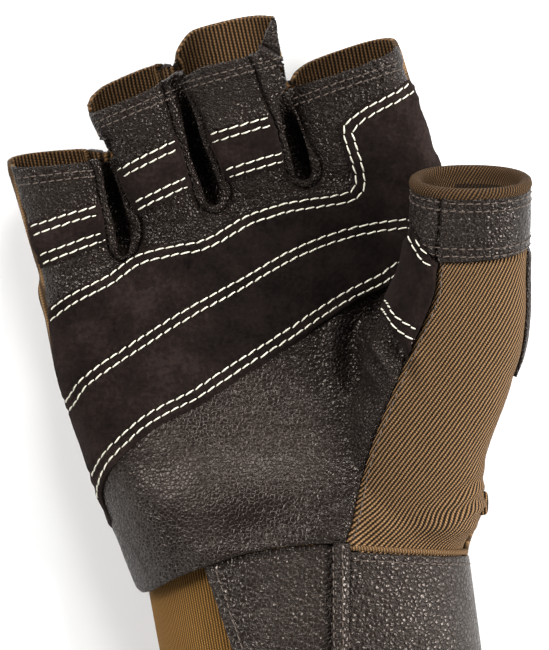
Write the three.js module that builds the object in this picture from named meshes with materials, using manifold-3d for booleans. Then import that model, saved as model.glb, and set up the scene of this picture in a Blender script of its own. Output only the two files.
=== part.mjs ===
// A right-hand fingerless sport glove with a leather palm, stretch back and wrist wrap,
// lying palm up on the back of the hand. +Z is up out of the palm, +Y runs from the wrist to the
// fingers, and +X points to the thumb side. Lengths are millimetres and angles are degrees.
import * as THREE from "three";
import { mergeVertices } from "three/addons/utils/BufferGeometryUtils.js";
import Module from "manifold-3d";

const wasm = await Module();
wasm.setup();

// Driving sizes of the hand part, measured outside the leather.
const PALM_LENGTH = 86;
const PALM_WIDTH = 103;
const PALM_THICKNESS = 42;
const FINGER_LENGTH = 45;
const FINGER_THICKNESS = 21;
const FINGER_GAP = 2.8;
const THUMB_LENGTH = 90;
const THUMB_WIDTH = 29;
const THUMB_THICKNESS = 22;
const SEAM_HEIGHT = 14;

// Wrist wrap.
const CUFF_LENGTH = 70;
const CUFF_TUCK = 13;
const STRAP_THICKNESS = 3;
const BINDING_WIDTH = 1.4;
const WELT_WIDTH = 3.6;
const WELT_HEIGHT = 1;

// Material thicknesses and clearances.
const WALL = 2;
const ELASTIC = 1.8;
const SUEDE = 1.3;
const THUMB_PATCH = 1;
const BAND_WALL = 1.1;
const THUMB_LINING = 0.8;
const GAP = 0.3;
const FOURCHETTE_REACH = 3.6;
const BAND_LENGTH = 16.5;
const TAB_WIDTH = 5.5;
const TAB_THICKNESS = 2.2;
const TAB_REACH = 1.5;

// How the hand is held.
const WRIST_X = 10;
const WRIST_Y = -34;
const PALM_LEAN = 12.3;
const KNUCKLE_TURN = 18;
const FINGER_LEAN = 13;
const THUMB_LEAN = -11.5;
const THUMB_RISE = 18;
const CUFF_TURN = 9;

// Points round each ring of the lofts.
const PALM_POINTS = 32;
const FINGER_POINTS = 18;
const THUMB_POINTS = 20;

// Far enough for a cutter to pass the whole glove.
const FAR = 400;

// along: share of PALM_LENGTH from the wrist. shift and half: shares of PALM_WIDTH.
// turn: share of KNUCKLE_TURN. top and hollow: shares of PALM_THICKNESS.
const PALM_ROWS = [
  { along: -0.13, shift: -0.035, turn: 0.5, half: 0.385, top: 0.98, hollow: 0 },
  { along: -0.03, shift: -0.033, turn: 0.42, half: 0.4, top: 1, hollow: 0 },
  { along: 0.18, shift: -0.012, turn: 0.2, half: 0.46, top: 1, hollow: 0.06 },
  { along: 0.39, shift: -0.034, turn: 0.39, half: 0.443, top: 0.93, hollow: 0.13 },
  { along: 0.66, shift: -0.043, turn: 0.66, half: 0.446, top: 0.8, hollow: 0.12 },
  { along: 0.88, shift: -0.013, turn: 0.88, half: 0.48, top: 0.7, hollow: 0.05 },
  { along: 1, shift: 0, turn: 1, half: 0.5, top: 0.64, hollow: 0 },
  { along: 1.04, shift: 0, turn: 1, half: 0.468, top: 0.55, hollow: 0 },
];

// Each stall lies between two lines, given at the knuckles (root) and at the opening (tip) as
// shares of half the palm's width. rise: degrees out of the palm's plane at root and tip.
// turn: degrees the opening's edge is turned. length and thick: shares of the named sizes.
const FINGERS = [
  {
    name: "pinky", root: [-1, -0.59], tip: [-1.035, -0.59],
    length: 0.65, thick: 0.83, rise: [4, 14], turn: 5,
  },
  {
    name: "ring", root: [-0.59, -0.115], tip: [-0.625, -0.13],
    length: 0.92, thick: 0.92, rise: [5, 20], turn: 23,
  },
  {
    name: "middle", root: [-0.115, 0.345], tip: [-0.165, 0.42],
    length: 1, thick: 1, rise: [8, 32], turn: 14,
  },
  {
    name: "index", root: [0.345, 1], tip: [0.4, 0.955],
    length: 0.7, thick: 0.96, rise: [6, 18], turn: 19,
  },
];

// along: share of THUMB_LENGTH. side and half: shares of THUMB_WIDTH. lift: share of
// THUMB_LENGTH. thick: share of THUMB_THICKNESS, from the axis to the outside.
const THUMB_ROWS = [
  { along: -0.14, side: 0, lift: 0, half: 0.5, thick: 0.55 },
  { along: 0, side: 0, lift: 0, half: 0.64, thick: 0.76 },
  { along: 0.23, side: 0, lift: 0.01, half: 0.66, thick: 0.78 },
  { along: 0.43, side: 0.07, lift: 0.01, half: 0.69, thick: 0.75 },
  { along: 0.62, side: 0.09, lift: 0.02, half: 0.62, thick: 0.66 },
  { along: 0.76, side: 0.09, lift: 0.02, half: 0.535, thick: 0.57 },
  { along: 0.9, side: 0.05, lift: 0.01, half: 0.51, thick: 0.52 },
  { along: 1, side: 0, lift: 0, half: 0.5, thick: 0.5 },
];
// Where the thumb's axis leaves the palm, in palm shares, and its height as a share of
// PALM_THICKNESS.
const THUMB_ROOT = { across: 0.562, along: 0.088, height: 0.46 };

// down: share of CUFF_LENGTH from the wrist. half: share of the cuff's half width.
const CUFF_ROWS = [
  { down: 0, half: 1 },
  { down: 0.35, half: 0.985 },
  { down: 0.7, half: 0.97 },
  { down: 1, half: 0.965 },
];

// Suede palm pad, clockwise from the knuckle of the little finger, in palm shares.
const PAD_OUTLINE = [
  { across: -1.2, along: 0.9 },
  { across: -1, along: 0.93 },
  { across: -0.76, along: 0.985 },
  { across: -0.58, along: 1.01 },
  { across: -0.4, along: 1.005 },
  { across: -0.2, along: 0.99 },
  { across: -0.03, along: 1.015 },
  { across: 0.14, along: 1.035 },
  { across: 0.33, along: 1.025 },
  { across: 0.54, along: 1 },
  { across: 0.61, along: 1.015 },
  { across: 0.64, along: 1.06 },
  { across: 0.655, along: 1.17 },
  { across: 0.75, along: 1.2 },
  { across: 1.05, along: 1.235 },
  { across: 1.3, along: 1.25 },
  { across: 1.3, along: 0.8 },
  { across: 0.94, along: 0.79 },
  { across: 0.77, along: 0.727 },
  { across: 0.53, along: 0.7 },
  { across: 0.2, along: 0.63 },
  { across: -0.15, along: 0.548 },
  { across: -0.45, along: 0.475 },
  { across: -0.7, along: 0.385 },
  { across: -0.87, along: 0.29 },
  { across: -0.95, along: 0.21 },
  { across: -1.2, along: 0.15 },
];

// Suede patch on three of the stalls: from and to are shares of the stall's length.
const FINGER_PATCHES = { pinky: [0.26, 0.53], ring: [0.32, 0.56], middle: [0.31, 0.55] };
// How far a finger patch stays from the fourchettes at its sides, and how wide an open side is.
const PATCH_EDGE = 0.5;

// Seam between the leather palm and the ribbed thumb piece, from the thumb band to the wrist.
const THUMB_SEAM = [
  { across: 1.1, along: 0.86 },
  { across: 1.04, along: 0.757 },
  { across: 1.01, along: 0.66 },
  { across: 0.79, along: 0.506 },
  { across: 0.47, along: 0.306 },
  { across: 0.3, along: 0.11 },
  { across: 0.26, along: 0.02 },
  { across: 0.24, along: -0.2 },
];
// The stretch back takes over from the ribbed piece below this share of the palm's length.
const THUMB_FORK = 0.6;

// Suede patch in the crotch of the thumb, in palm shares.
const CROTCH_OUTLINE = [
  { across: 0.7, along: 0.85 },
  { across: 1.02, along: 0.85 },
  { across: 1.025, along: 0.757 },
  { across: 0.995, along: 0.66 },
  { across: 0.88, along: 0.56 },
  { across: 0.77, along: 0.59 },
  { across: 0.72, along: 0.655 },
];

// Edge of the glove's body at the wrist: across is a share of the cuff's half width and rise a
// share of CUFF_LENGTH.
const WRIST_LINE = [
  { across: -1.4, rise: 0 },
  { across: -1.1, rise: 0.022 },
  { across: -0.82, rise: 0.064 },
  { across: -0.61, rise: 0.079 },
  { across: -0.33, rise: 0.102 },
  { across: 0, rise: 0.102 },
  { across: 0.31, rise: 0.081 },
  { across: 0.7, rise: 0.035 },
  { across: 1.13, rise: -0.014 },
  { across: 1.4, rise: -0.04 },
];

// Edges of the wrap pieces, as shares of the cuff's half width at its top and bottom.
const PANEL_EDGE = { top: -0.615, bottom: -0.43 };
const STRAP_EDGE = { top: 0.22, bottom: -0.06 };
const STRAP_BACK_EDGE = { top: -0.62, bottom: -0.62 };

const deg = THREE.MathUtils.degToRad;

// A direction in the plan, leaning left of +Y by an angle.
function leaning(angle) {
  return new THREE.Vector2(-Math.sin(deg(angle)), Math.cos(deg(angle)));
}

// A direction in the plan, turned left of +X by an angle.
function turned(angle) {
  return new THREE.Vector2(Math.cos(deg(angle)), Math.sin(deg(angle)));
}

// Smooth value of one column at a place along a table, held in its end rows' slopes beyond it.
function column(rows, place, key, name) {
  let i = 0;
  while (i < rows.length - 2 && name > rows[i + 1][place]) i += 1;
  const [a, b] = [rows[i], rows[i + 1]];
  const t = (name - a[place]) / (b[place] - a[place]);
  if (t < 0 || t > 1) return a[key] + (b[key] - a[key]) * t;
  const before = rows[Math.max(i - 1, 0)];
  const after = rows[Math.min(i + 2, rows.length - 1)];
  const step = b[place] - a[place];
  const slopeA = ((b[key] - before[key]) / (b[place] - before[place])) * step;
  const slopeB = ((after[key] - a[key]) / (after[place] - a[place])) * step;
  return THREE.MathUtils.lerp(a[key], b[key], t) +
    t * (1 - t) * ((1 - t) * (slopeA - (b[key] - a[key])) + t * (b[key] - a[key] - slopeB));
}

// Unit point of a superellipse; squareness 2 is an ellipse and more is squarer.
function roundedPoint(angle, squareness) {
  const power = 2 / squareness;
  const [c, s] = [Math.cos(angle), Math.sin(angle)];
  return [Math.sign(c) * Math.abs(c) ** power, Math.sign(s) * Math.abs(s) ** power];
}

// Turns a closed geometry into a solid.
function solidOf(geometry) {
  const bare = geometry.clone();
  bare.deleteAttribute("normal");
  bare.deleteAttribute("uv");
  const merged = mergeVertices(bare, 1e-4);
  const mesh = new wasm.Mesh({
    numProp: 3,
    vertProperties: merged.attributes.position.array,
    triVerts: new Uint32Array(merged.index.array),
  });
  return new wasm.Manifold(mesh);
}

// Solid through rings of points, each ring counter-clockwise seen from the last ring's side.
function loft(rings) {
  const count = rings[0].length;
  const points = rings.flat();
  const faces = [];
  for (let r = 0; r + 1 < rings.length; r += 1) {
    for (let j = 0; j < count; j += 1) {
      const [a, b] = [r * count + j, r * count + ((j + 1) % count)];
      faces.push(a, b, b + count, a, b + count, a + count);
    }
  }
  for (const [ring, first, flip] of [[rings[0], 0, true], [rings.at(-1), points.length - count, false]]) {
    const centre = new THREE.Vector3();
    ring.forEach((p) => centre.addScaledVector(p, 1 / count));
    const hub = points.push(centre) - 1;
    for (let j = 0; j < count; j += 1) {
      const [a, b] = [first + j, first + ((j + 1) % count)];
      faces.push(hub, flip ? b : a, flip ? a : b);
    }
  }
  const geometry = new THREE.BufferGeometry().setFromPoints(points);
  geometry.setIndex(faces);
  return solidOf(geometry);
}

// Upright prism over a closed outline of plan points.
function prism(outline, bottom = -FAR, top = FAR) {
  const shape = new THREE.Shape(outline);
  const geometry = new THREE.ExtrudeGeometry(shape, { depth: top - bottom, bevelEnabled: false });
  geometry.translate(0, 0, bottom);
  return solidOf(geometry);
}

function unite(solids) {
  return solids.reduce((all, next) => all.add(next));
}

// The largest body of a solid, without the slivers a cut can leave.
function mainBody(solid) {
  return solid.decompose().reduce((a, b) => (b.volume() > a.volume() ? b : a));
}

// Palm: stations along a leaning axis.
const PALM_AXIS = leaning(PALM_LEAN);
const WRIST = new THREE.Vector2(WRIST_X, WRIST_Y);

function palmStation(along) {
  const value = (key) => column(PALM_ROWS, "along", key, along);
  const across = turned(value("turn") * KNUCKLE_TURN);
  const centre = WRIST.clone()
    .addScaledVector(PALM_AXIS, along * PALM_LENGTH)
    .addScaledVector(across, value("shift") * PALM_WIDTH);
  return {
    centre, across,
    half: value("half") * PALM_WIDTH,
    top: value("top") * PALM_THICKNESS,
    hollow: value("hollow") * PALM_THICKNESS,
  };
}

function palmPoint(across, along) {
  const station = palmStation(along);
  return station.centre.clone().addScaledVector(station.across, across * station.half);
}

// One upright ring, widest at the side seams and flat where it rests at the floor height.
// reversed is 1 for rings that follow each other down the arm and -1 up the hand.
function handRing(centre, across, reversed, half, top, floor, hollow) {
  return Array.from({ length: PALM_POINTS }, (_, i) => {
    const angle = (2 * Math.PI * i) / PALM_POINTS;
    const upper = Math.sin(angle) >= 0;
    const [c, s] = roundedPoint(angle, upper ? 2.3 : 2.8);
    const dip = upper ? hollow * (1 - c * c) ** 2 : 0;
    const z = SEAM_HEIGHT + s * (upper ? top - SEAM_HEIGHT : SEAM_HEIGHT - floor + WALL) - dip;
    const plan = centre.clone().addScaledVector(across, reversed * c * half);
    return new THREE.Vector3(plan.x, plan.y, Math.max(z, floor));
  });
}

// Ring of the palm, grown outwards by offset and never below its resting plane.
function palmRing(station, offset) {
  const { centre, across, half, top, hollow } = station;
  return handRing(centre, across, -1, half + offset, top + offset, -offset, hollow);
}

function palmLoft(offset) {
  const places = PALM_ROWS.map((row) => row.along);
  const steps = places.flatMap((at, i) => (i && i < places.length - 1 ? [(places[i - 1] + at) / 2, at] : [at]));
  const end = steps.length - 1;
  steps[end] += offset / PALM_LENGTH;
  steps[0] -= offset < 0 ? 0.05 : 0;
  return loft(steps.map((at) => palmRing(palmStation(at), offset)));
}

// Fingers: stalls leaning from the knuckle line and curling out of the palm's plane.
const KNUCKLES = palmStation(1);
const FINGER_AXIS = leaning(FINGER_LEAN);
const FINGER_BACK = -0.32;
// Share of the gap between stalls that their flared openings take up.
const TIP_CLOSING = 0.55;

function fingerStation(finger, at) {
  const lerp = THREE.MathUtils.lerp;
  const held = Math.max(at, 0);
  const [left, right] = [0, 1].map((k) => lerp(finger.root[k], finger.tip[k], held) * KNUCKLES.half);
  const half = (right - left - FINGER_GAP * (1 - held * TIP_CLOSING)) / 2;
  const length = finger.length * FINGER_LENGTH;
  const rise = deg(lerp(finger.rise[0], finger.rise[1], held));
  const mean = deg(lerp(finger.rise[0], finger.rise[1], held / 2));
  const plan = KNUCKLES.centre.clone()
    .addScaledVector(KNUCKLES.across, (left + right) / 2)
    .addScaledVector(FINGER_AXIS, at * length * Math.cos(mean));
  const across = turned(lerp(KNUCKLE_TURN, finger.turn, held));
  const lift = at * length * Math.sin(mean);
  return {
    half, rise, across,
    centre: new THREE.Vector3(plan.x, plan.y, SEAM_HEIGHT + lift),
    across3: new THREE.Vector3(across.x, across.y, 0),
    up: new THREE.Vector3(-FINGER_AXIS.x * Math.sin(rise), -FINGER_AXIS.y * Math.sin(rise), Math.cos(rise)),
    thick: (finger.thick * FINGER_THICKNESS) / 2,
  };
}

function fingerPoint(finger, across, at, inset = 0) {
  const s = fingerStation(finger, at);
  return new THREE.Vector2(s.centre.x, s.centre.y)
    .addScaledVector(s.across, across * s.half - Math.sign(across) * inset);
}

function fingerSteps(from, to) {
  const inner = [0, 0.25, 0.5, 0.75, 1].filter((at) => at > from + 0.01 && at < to - 0.01);
  return [from, ...inner, to];
}

// Stall grown by offset, between two shares of its length.
function fingerLoft(finger, offset, from, to) {
  return loft(fingerSteps(from, to).map((at) => {
    const s = fingerStation(finger, at);
    return Array.from({ length: FINGER_POINTS }, (_, i) => {
      const [c, u] = roundedPoint((2 * Math.PI * i) / FINGER_POINTS, 2.7);
      return s.centre.clone()
        .addScaledVector(s.across3, -c * (s.half + offset))
        .addScaledVector(s.up, u * (s.thick + offset));
    });
  }));
}

// Block on the back of a stall, below its side seams.
function fingerBackBlock(finger, grow) {
  return loft(fingerSteps(-0.2, 1.15).map((at) => {
    const s = fingerStation(finger, at);
    const wide = s.half + FINGER_GAP / 2 - GAP / 2;
    const corners = [[1, grow], [-1, grow], [-1, -2 * FINGER_THICKNESS], [1, -2 * FINGER_THICKNESS]];
    return corners.map(([c, u]) => s.centre.clone()
      .addScaledVector(s.across3, -c * -wide)
      .addScaledVector(s.up, u)).reverse();
  }));
}

// Thumb: a stall on its own leaning and rising axis.
const THUMB_BASE = palmPoint(THUMB_ROOT.across, THUMB_ROOT.along);
const THUMB_PLAN = leaning(THUMB_LEAN);
const THUMB_AXIS = new THREE.Vector3(
  THUMB_PLAN.x * Math.cos(deg(THUMB_RISE)),
  THUMB_PLAN.y * Math.cos(deg(THUMB_RISE)),
  Math.sin(deg(THUMB_RISE)),
);
const THUMB_ACROSS = new THREE.Vector3(1, 0, 0);
const THUMB_UP = new THREE.Vector3(0, -Math.sin(deg(THUMB_RISE)), Math.cos(deg(THUMB_RISE)));

function thumbStation(along) {
  const value = (key) => column(THUMB_ROWS, "along", key, along);
  const centre = new THREE.Vector3(THUMB_BASE.x, THUMB_BASE.y, THUMB_ROOT.height * PALM_THICKNESS)
    .addScaledVector(THUMB_AXIS, along * THUMB_LENGTH)
    .addScaledVector(THUMB_ACROSS, value("side") * THUMB_WIDTH)
    .addScaledVector(THUMB_UP, value("lift") * THUMB_LENGTH);
  return { centre, half: value("half") * THUMB_WIDTH, thick: value("thick") * THUMB_THICKNESS };
}

function thumbRing(along, offset) {
  const s = thumbStation(along);
  return Array.from({ length: THUMB_POINTS }, (_, i) => {
    const [c, u] = roundedPoint((2 * Math.PI * i) / THUMB_POINTS, 2.2);
    const point = s.centre.clone()
      .addScaledVector(THUMB_ACROSS, -c * (s.half + offset))
      .addScaledVector(THUMB_UP, u * (s.thick + offset));
    point.z = Math.max(point.z, -offset);
    return point;
  });
}

function thumbLoft(offset, from, to) {
  const inner = THUMB_ROWS.map((row) => row.along).filter((at) => at > from + 0.01 && at < to - 0.01);
  return loft([from, ...inner, to].map((at) => thumbRing(at, offset)));
}

// The glove's whole form grown by offset; open ends reach past the openings for a hollow.
function skin(offset) {
  const past = offset < 0 ? 0.12 : 0;
  return unite([
    palmLoft(offset),
    ...FINGERS.map((finger) => fingerLoft(finger, offset, FINGER_BACK, 1 + past)),
    thumbLoft(offset, THUMB_ROWS[0].along, 1 + past),
  ]);
}

// Cuff: rings round the wrist, fitted inside the palm's wrist opening.
const CUFF_ACROSS = turned(CUFF_TURN);
const CUFF_DOWN = new THREE.Vector2(CUFF_ACROSS.y, -CUFF_ACROSS.x);
const WRIST_STATION = palmStation(-0.03);
const CUFF_HALF = WRIST_STATION.half - WALL - GAP - 1.6;
const CUFF_BOTTOM = STRAP_THICKNESS + GAP;
const CUFF_TOP = PALM_THICKNESS * 0.955 - WALL - GAP;
const CUFF_MIDDLE = new THREE.Vector2(WRIST_STATION.centre.x, WRIST_STATION.centre.y)
  .addScaledVector(CUFF_ACROSS, 0.6);

function cuffPoint(across, down) {
  const half = CUFF_HALF * column(CUFF_ROWS, "down", "half", down);
  return CUFF_MIDDLE.clone()
    .addScaledVector(CUFF_DOWN, down * CUFF_LENGTH)
    .addScaledVector(CUFF_ACROSS, across * half);
}

function cuffLoft(offset, from, to) {
  const inner = CUFF_ROWS.map((row) => row.down).filter((at) => at > from + 0.01 && at < to - 0.01);
  return loft([from, ...inner, to].map((down) => {
    const half = CUFF_HALF * column(CUFF_ROWS, "down", "half", down) + offset;
    const middle = cuffPoint(0, down);
    return handRing(middle, CUFF_ACROSS, 1, half, CUFF_TOP + offset, CUFF_BOTTOM - offset, 0);
  }));
}

// Region above the wrist line, moved up the hand by shift millimetres.
function aboveWristLine(shift) {
  const points = WRIST_LINE.map((row) => cuffPoint(row.across, 0)
    .addScaledVector(CUFF_DOWN, -row.rise * CUFF_LENGTH - shift));
  const out = CUFF_ACROSS.clone().multiplyScalar(FAR);
  const up = new THREE.Vector2(0, FAR);
  return prism([
    points[0].clone().sub(out), ...points, points.at(-1).clone().add(out),
    points.at(-1).clone().add(out).add(up), points[0].clone().sub(out).add(up),
  ]);
}

// Region on the thumb's side of the thumb seam, moved towards the thumb by shift millimetres.
function thumbSide(shift) {
  const points = THUMB_SEAM.map((row) => palmPoint(row.across, row.along).add(new THREE.Vector2(shift, 0)));
  return prism([...points, points.at(-1).clone().setX(FAR), points[0].clone().setX(FAR)].reverse());
}

// Everything below a height.
function below(height) {
  const box = new THREE.BoxGeometry(FAR, FAR, FAR);
  box.translate(0, 0, height - FAR / 2);
  return solidOf(box);
}

// The back of the hand and of the four stalls, up to the side seams.
function backRegion(grow) {
  return unite([below(SEAM_HEIGHT + grow), ...FINGERS.map((finger) => fingerBackBlock(finger, grow))]);
}

// The stretch of thumb between two shares of its length, outside and all.
function thumbRegion(grow, from, to) {
  return thumbLoft(WALL + grow, from, to);
}

// U-shaped region round the slot between two neighbouring stalls.
function slotRegion(left, right, grow) {
  const reach = FOURCHETTE_REACH + grow;
  const down = -0.14 - grow / FINGER_LENGTH;
  const places = [1.3, 1, 0.5, 0];
  const leftSide = places.map((at) => fingerPoint(left, 1, at, reach));
  const rightSide = places.map((at) => fingerPoint(right, -1, at, reach));
  const foot = [fingerPoint(left, 1, down, reach / 2), fingerPoint(right, -1, down, reach / 2)];
  return prism([...leftSide, ...foot, ...rightSide.reverse()]);
}

const SLOTS = FINGERS.slice(1).map((finger, i) => [FINGERS[i], finger]);

function allSlots(grow) {
  return unite(SLOTS.map(([left, right]) => slotRegion(left, right, grow)));
}

// Parts of the glove's body.
const form = skin(0);
const hollow = skin(-WALL);
const body = form.subtract(hollow).intersect(aboveWristLine(GAP / 2));

const THUMB_FABRIC_END = 1 - BAND_LENGTH / THUMB_LENGTH;
const THUMB_GAP_SHARE = GAP / THUMB_LENGTH;

function ribbedRegion(grow) {
  const side = thumbSide(-grow);
  const forkY = palmPoint(0, THUMB_FORK).y;
  const low = prism([[-FAR, -FAR], [FAR, -FAR], [FAR, forkY], [-FAR, forkY]].map(([x, y]) => new THREE.Vector2(x, y)));
  const high = thumbRegion(grow, 0.3, THUMB_FABRIC_END);
  return side.intersect(low.add(high)).subtract(below(SEAM_HEIGHT + GAP - grow));
}

const bandRegion = thumbRegion(0, THUMB_FABRIC_END + THUMB_GAP_SHARE, 1.2);
const bandAndGap = thumbRegion(GAP, THUMB_FABRIC_END, 1.2);

function palmLeather() {
  return mainBody(body.subtract(backRegion(GAP)).subtract(allSlots(GAP))
    .subtract(ribbedRegion(GAP)).subtract(bandAndGap));
}

function backFabric() {
  return mainBody(body.intersect(backRegion(0)).subtract(allSlots(GAP)).subtract(bandAndGap));
}

function fourchette([left, right]) {
  return mainBody(body.intersect(slotRegion(left, right, 0)));
}

function thumbFabric() {
  return mainBody(body.intersect(ribbedRegion(0)).subtract(bandAndGap));
}

function thumbBand() {
  return mainBody(form.intersect(bandRegion).subtract(thumbLoft(-BAND_WALL, 0.5, 1.1)));
}

// A layer lying on the body, from a small clearance to its thickness.
const onBody = skin(GAP);
const suedeLayer = skin(GAP + SUEDE).subtract(onBody);

function outlineRegion(rows) {
  return prism(rows.map((row) => palmPoint(row.across, row.along)).reverse());
}

function palmPad() {
  return mainBody(suedeLayer.intersect(outlineRegion(PAD_OUTLINE))
    .subtract(below(SEAM_HEIGHT + GAP)).subtract(backRegion(GAP)).subtract(allSlots(GAP))
    .subtract(thumbRegion(GAP + SUEDE, -0.1, 1.2)));
}

function fingerPatch(finger) {
  const [from, to] = FINGER_PATCHES[finger.name];
  const inset = (side) => (side < 0 && finger.name === "pinky" ? 0 : FOURCHETTE_REACH + PATCH_EDGE);
  const corners = [[-1, from], [1, from], [1, to], [-1, to]];
  const outline = corners.map(([side, at]) => fingerPoint(finger, side, at, inset(side)));
  return mainBody(suedeLayer.intersect(prism(outline)).subtract(backRegion(GAP)));
}

// Block behind the thumb, below a level given as a share of its thickness, from left across.
function thumbBackBlock(level, left) {
  return loft([0.2, 1.2].map((at) => {
    const s = thumbStation(at);
    const corners = [[left, level], [3, level], [3, -3], [left, -3]];
    return corners.map(([c, u]) => s.centre.clone()
      .addScaledVector(THUMB_ACROSS, c * THUMB_WIDTH)
      .addScaledVector(THUMB_UP, u * THUMB_THICKNESS));
  }));
}

function crotchPatch() {
  return mainBody(suedeLayer.intersect(thumbRegion(SUEDE, 0.3, THUMB_FABRIC_END - THUMB_GAP_SHARE))
    .intersect(outlineRegion(CROTCH_OUTLINE)).subtract(below(PALM_THICKNESS * 0.75))
    .subtract(thumbBackBlock(-0.03, -3)));
}

// Leather patch on the back of the thumb, over the ribbed fabric.
function thumbBackPatch() {
  const layer = thumbLoft(GAP + THUMB_PATCH, 0.5, THUMB_FABRIC_END - THUMB_GAP_SHARE)
    .subtract(thumbLoft(GAP, 0.4, 1));
  return mainBody(layer.intersect(thumbBackBlock(-0.06, -0.3)).subtract(onBody));
}

// Fabric lining that shows inside the thumb's opening.
function thumbLining() {
  const outer = thumbLoft(-BAND_WALL - GAP, THUMB_FABRIC_END + THUMB_GAP_SHARE, 0.99);
  return outer.subtract(thumbLoft(-BAND_WALL - GAP - THUMB_LINING, 0.5, 1.1));
}

// Wrist pieces.
function wristElastic() {
  const top = -CUFF_TUCK / CUFF_LENGTH;
  return cuffLoft(0, top, 1).subtract(cuffLoft(-ELASTIC, top - 0.1, 1.1));
}

const belowWristLine = (shift) => {
  const box = new THREE.BoxGeometry(FAR, FAR, FAR);
  return solidOf(box).subtract(aboveWristLine(-shift));
};

function wrapLayer(thickness) {
  return cuffLoft(GAP + thickness, -0.3, 1).subtract(cuffLoft(GAP, -0.4, 1.1));
}

// Prism between two edges down the cuff, the left one moved right by shift millimetres.
function cuffWindow(left, right, bottom, top, shift = 0) {
  const at = (edge, down, more) => cuffPoint(THREE.MathUtils.lerp(edge.top, edge.bottom, down), down)
    .addScaledVector(CUFF_ACROSS, more);
  const outline = [at(left, -0.4, shift), at(left, 1.1, shift), at(right, 1.1, 0), at(right, -0.4, 0)];
  return prism(outline, bottom, top);
}

const CUFF_SIDE = { top: 2, bottom: 2 };
const CUFF_MIDDLE_HEIGHT = (CUFF_TOP + CUFF_BOTTOM) / 2;

// The strap's run: over the front from its edge, round the thumb side and across the back.
function strapWindow() {
  const front = cuffWindow(STRAP_EDGE, CUFF_SIDE, CUFF_MIDDLE_HEIGHT - 1, FAR, WELT_WIDTH + GAP);
  return front.add(cuffWindow(STRAP_BACK_EDGE, CUFF_SIDE, -FAR, CUFF_MIDDLE_HEIGHT));
}

function wrapPanel() {
  const right = { top: STRAP_EDGE.top - GAP / CUFF_HALF, bottom: STRAP_EDGE.bottom - GAP / CUFF_HALF };
  return mainBody(wrapLayer(STRAP_THICKNESS - WELT_HEIGHT).intersect(belowWristLine(GAP))
    .intersect(cuffWindow(PANEL_EDGE, right, CUFF_MIDDLE_HEIGHT, FAR)));
}

function wrapWelt() {
  const share = WELT_WIDTH / CUFF_HALF;
  const right = { top: STRAP_EDGE.top + share, bottom: STRAP_EDGE.bottom + share };
  return mainBody(wrapLayer(STRAP_THICKNESS + WELT_HEIGHT).intersect(belowWristLine(GAP))
    .intersect(cuffWindow(STRAP_EDGE, right, CUFF_MIDDLE_HEIGHT, FAR)));
}

function wrapStrap() {
  return mainBody(wrapLayer(STRAP_THICKNESS).intersect(strapWindow())
    .intersect(belowWristLine(GAP + BINDING_WIDTH + GAP)));
}

function strapBinding() {
  return mainBody(wrapLayer(STRAP_THICKNESS).intersect(strapWindow())
    .intersect(belowWristLine(GAP)).subtract(belowWristLine(GAP + BINDING_WIDTH)));
}

// Folded webbing tab sewn at the side of the thumb's heel.
function pullTab() {
  const at = palmPoint(1, 0.165);
  const shape = new THREE.Shape();
  shape.absarc(TAB_REACH, 0, TAB_WIDTH / 2, -Math.PI / 2, Math.PI / 2, false);
  shape.lineTo(-TAB_REACH, TAB_WIDTH / 2);
  shape.lineTo(-TAB_REACH, -TAB_WIDTH / 2);
  const geometry = new THREE.ExtrudeGeometry(shape, {
    depth: TAB_THICKNESS, bevelEnabled: false, curveSegments: 8,
  });
  geometry.translate(at.x, at.y, SEAM_HEIGHT - TAB_THICKNESS / 2);
  return mainBody(solidOf(geometry).subtract(skin(GAP)));
}

const MATERIALS = {
  leather: new THREE.MeshStandardMaterial({ color: 0x2b211e, roughness: 0.45, metalness: 0 }),
  suede: new THREE.MeshStandardMaterial({ color: 0x231a18, roughness: 0.95, metalness: 0 }),
  ribbed: new THREE.MeshStandardMaterial({ color: 0x7a5a35, roughness: 0.8, metalness: 0 }),
  stretch: new THREE.MeshStandardMaterial({ color: 0x6b4a28, roughness: 0.85, metalness: 0 }),
  elastic: new THREE.MeshStandardMaterial({ color: 0x87602f, roughness: 0.85, metalness: 0 }),
};

function meshOf(name, solid, material) {
  const { numProp, vertProperties, triVerts } = solid.getMesh();
  const points = [];
  for (let i = 0; i < vertProperties.length; i += numProp) points.push(...vertProperties.subarray(i, i + 3));
  const geometry = new THREE.BufferGeometry();
  geometry.setAttribute("position", new THREE.Float32BufferAttribute(points, 3));
  geometry.setIndex([...triVerts]);
  geometry.computeVertexNormals();
  const mesh = new THREE.Mesh(geometry, MATERIALS[material]);
  mesh.name = name;
  return mesh;
}

const glove = new THREE.Group();
glove.add(
  meshOf("palm_leather", palmLeather(), "leather"),
  meshOf("back_fabric", backFabric(), "stretch"),
  meshOf("thumb_fabric", thumbFabric(), "ribbed"),
  meshOf("thumb_band", thumbBand(), "leather"),
  meshOf("thumb_lining", thumbLining(), "stretch"),
  meshOf("thumb_back_patch", thumbBackPatch(), "leather"),
  meshOf("thumb_crotch_patch", crotchPatch(), "suede"),
  meshOf("palm_pad", palmPad(), "suede"),
);
SLOTS.forEach((pair) => {
  const name = `fourchette_${pair[0].name}_${pair[1].name}`;
  glove.add(meshOf(name, fourchette(pair), "leather"));
});
FINGERS.filter((finger) => finger.name in FINGER_PATCHES).forEach((finger) => {
  glove.add(meshOf(`patch_${finger.name}`, fingerPatch(finger), "suede"));
});
glove.add(
  meshOf("wrist_elastic", wristElastic(), "elastic"),
  meshOf("wrap_panel", wrapPanel(), "leather"),
  meshOf("wrap_welt", wrapWelt(), "leather"),
  meshOf("wrap_strap", wrapStrap(), "leather"),
  meshOf("strap_binding", strapBinding(), "ribbed"),
  meshOf("pull_tab", pullTab(), "elastic"),
);

export default glove;
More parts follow.
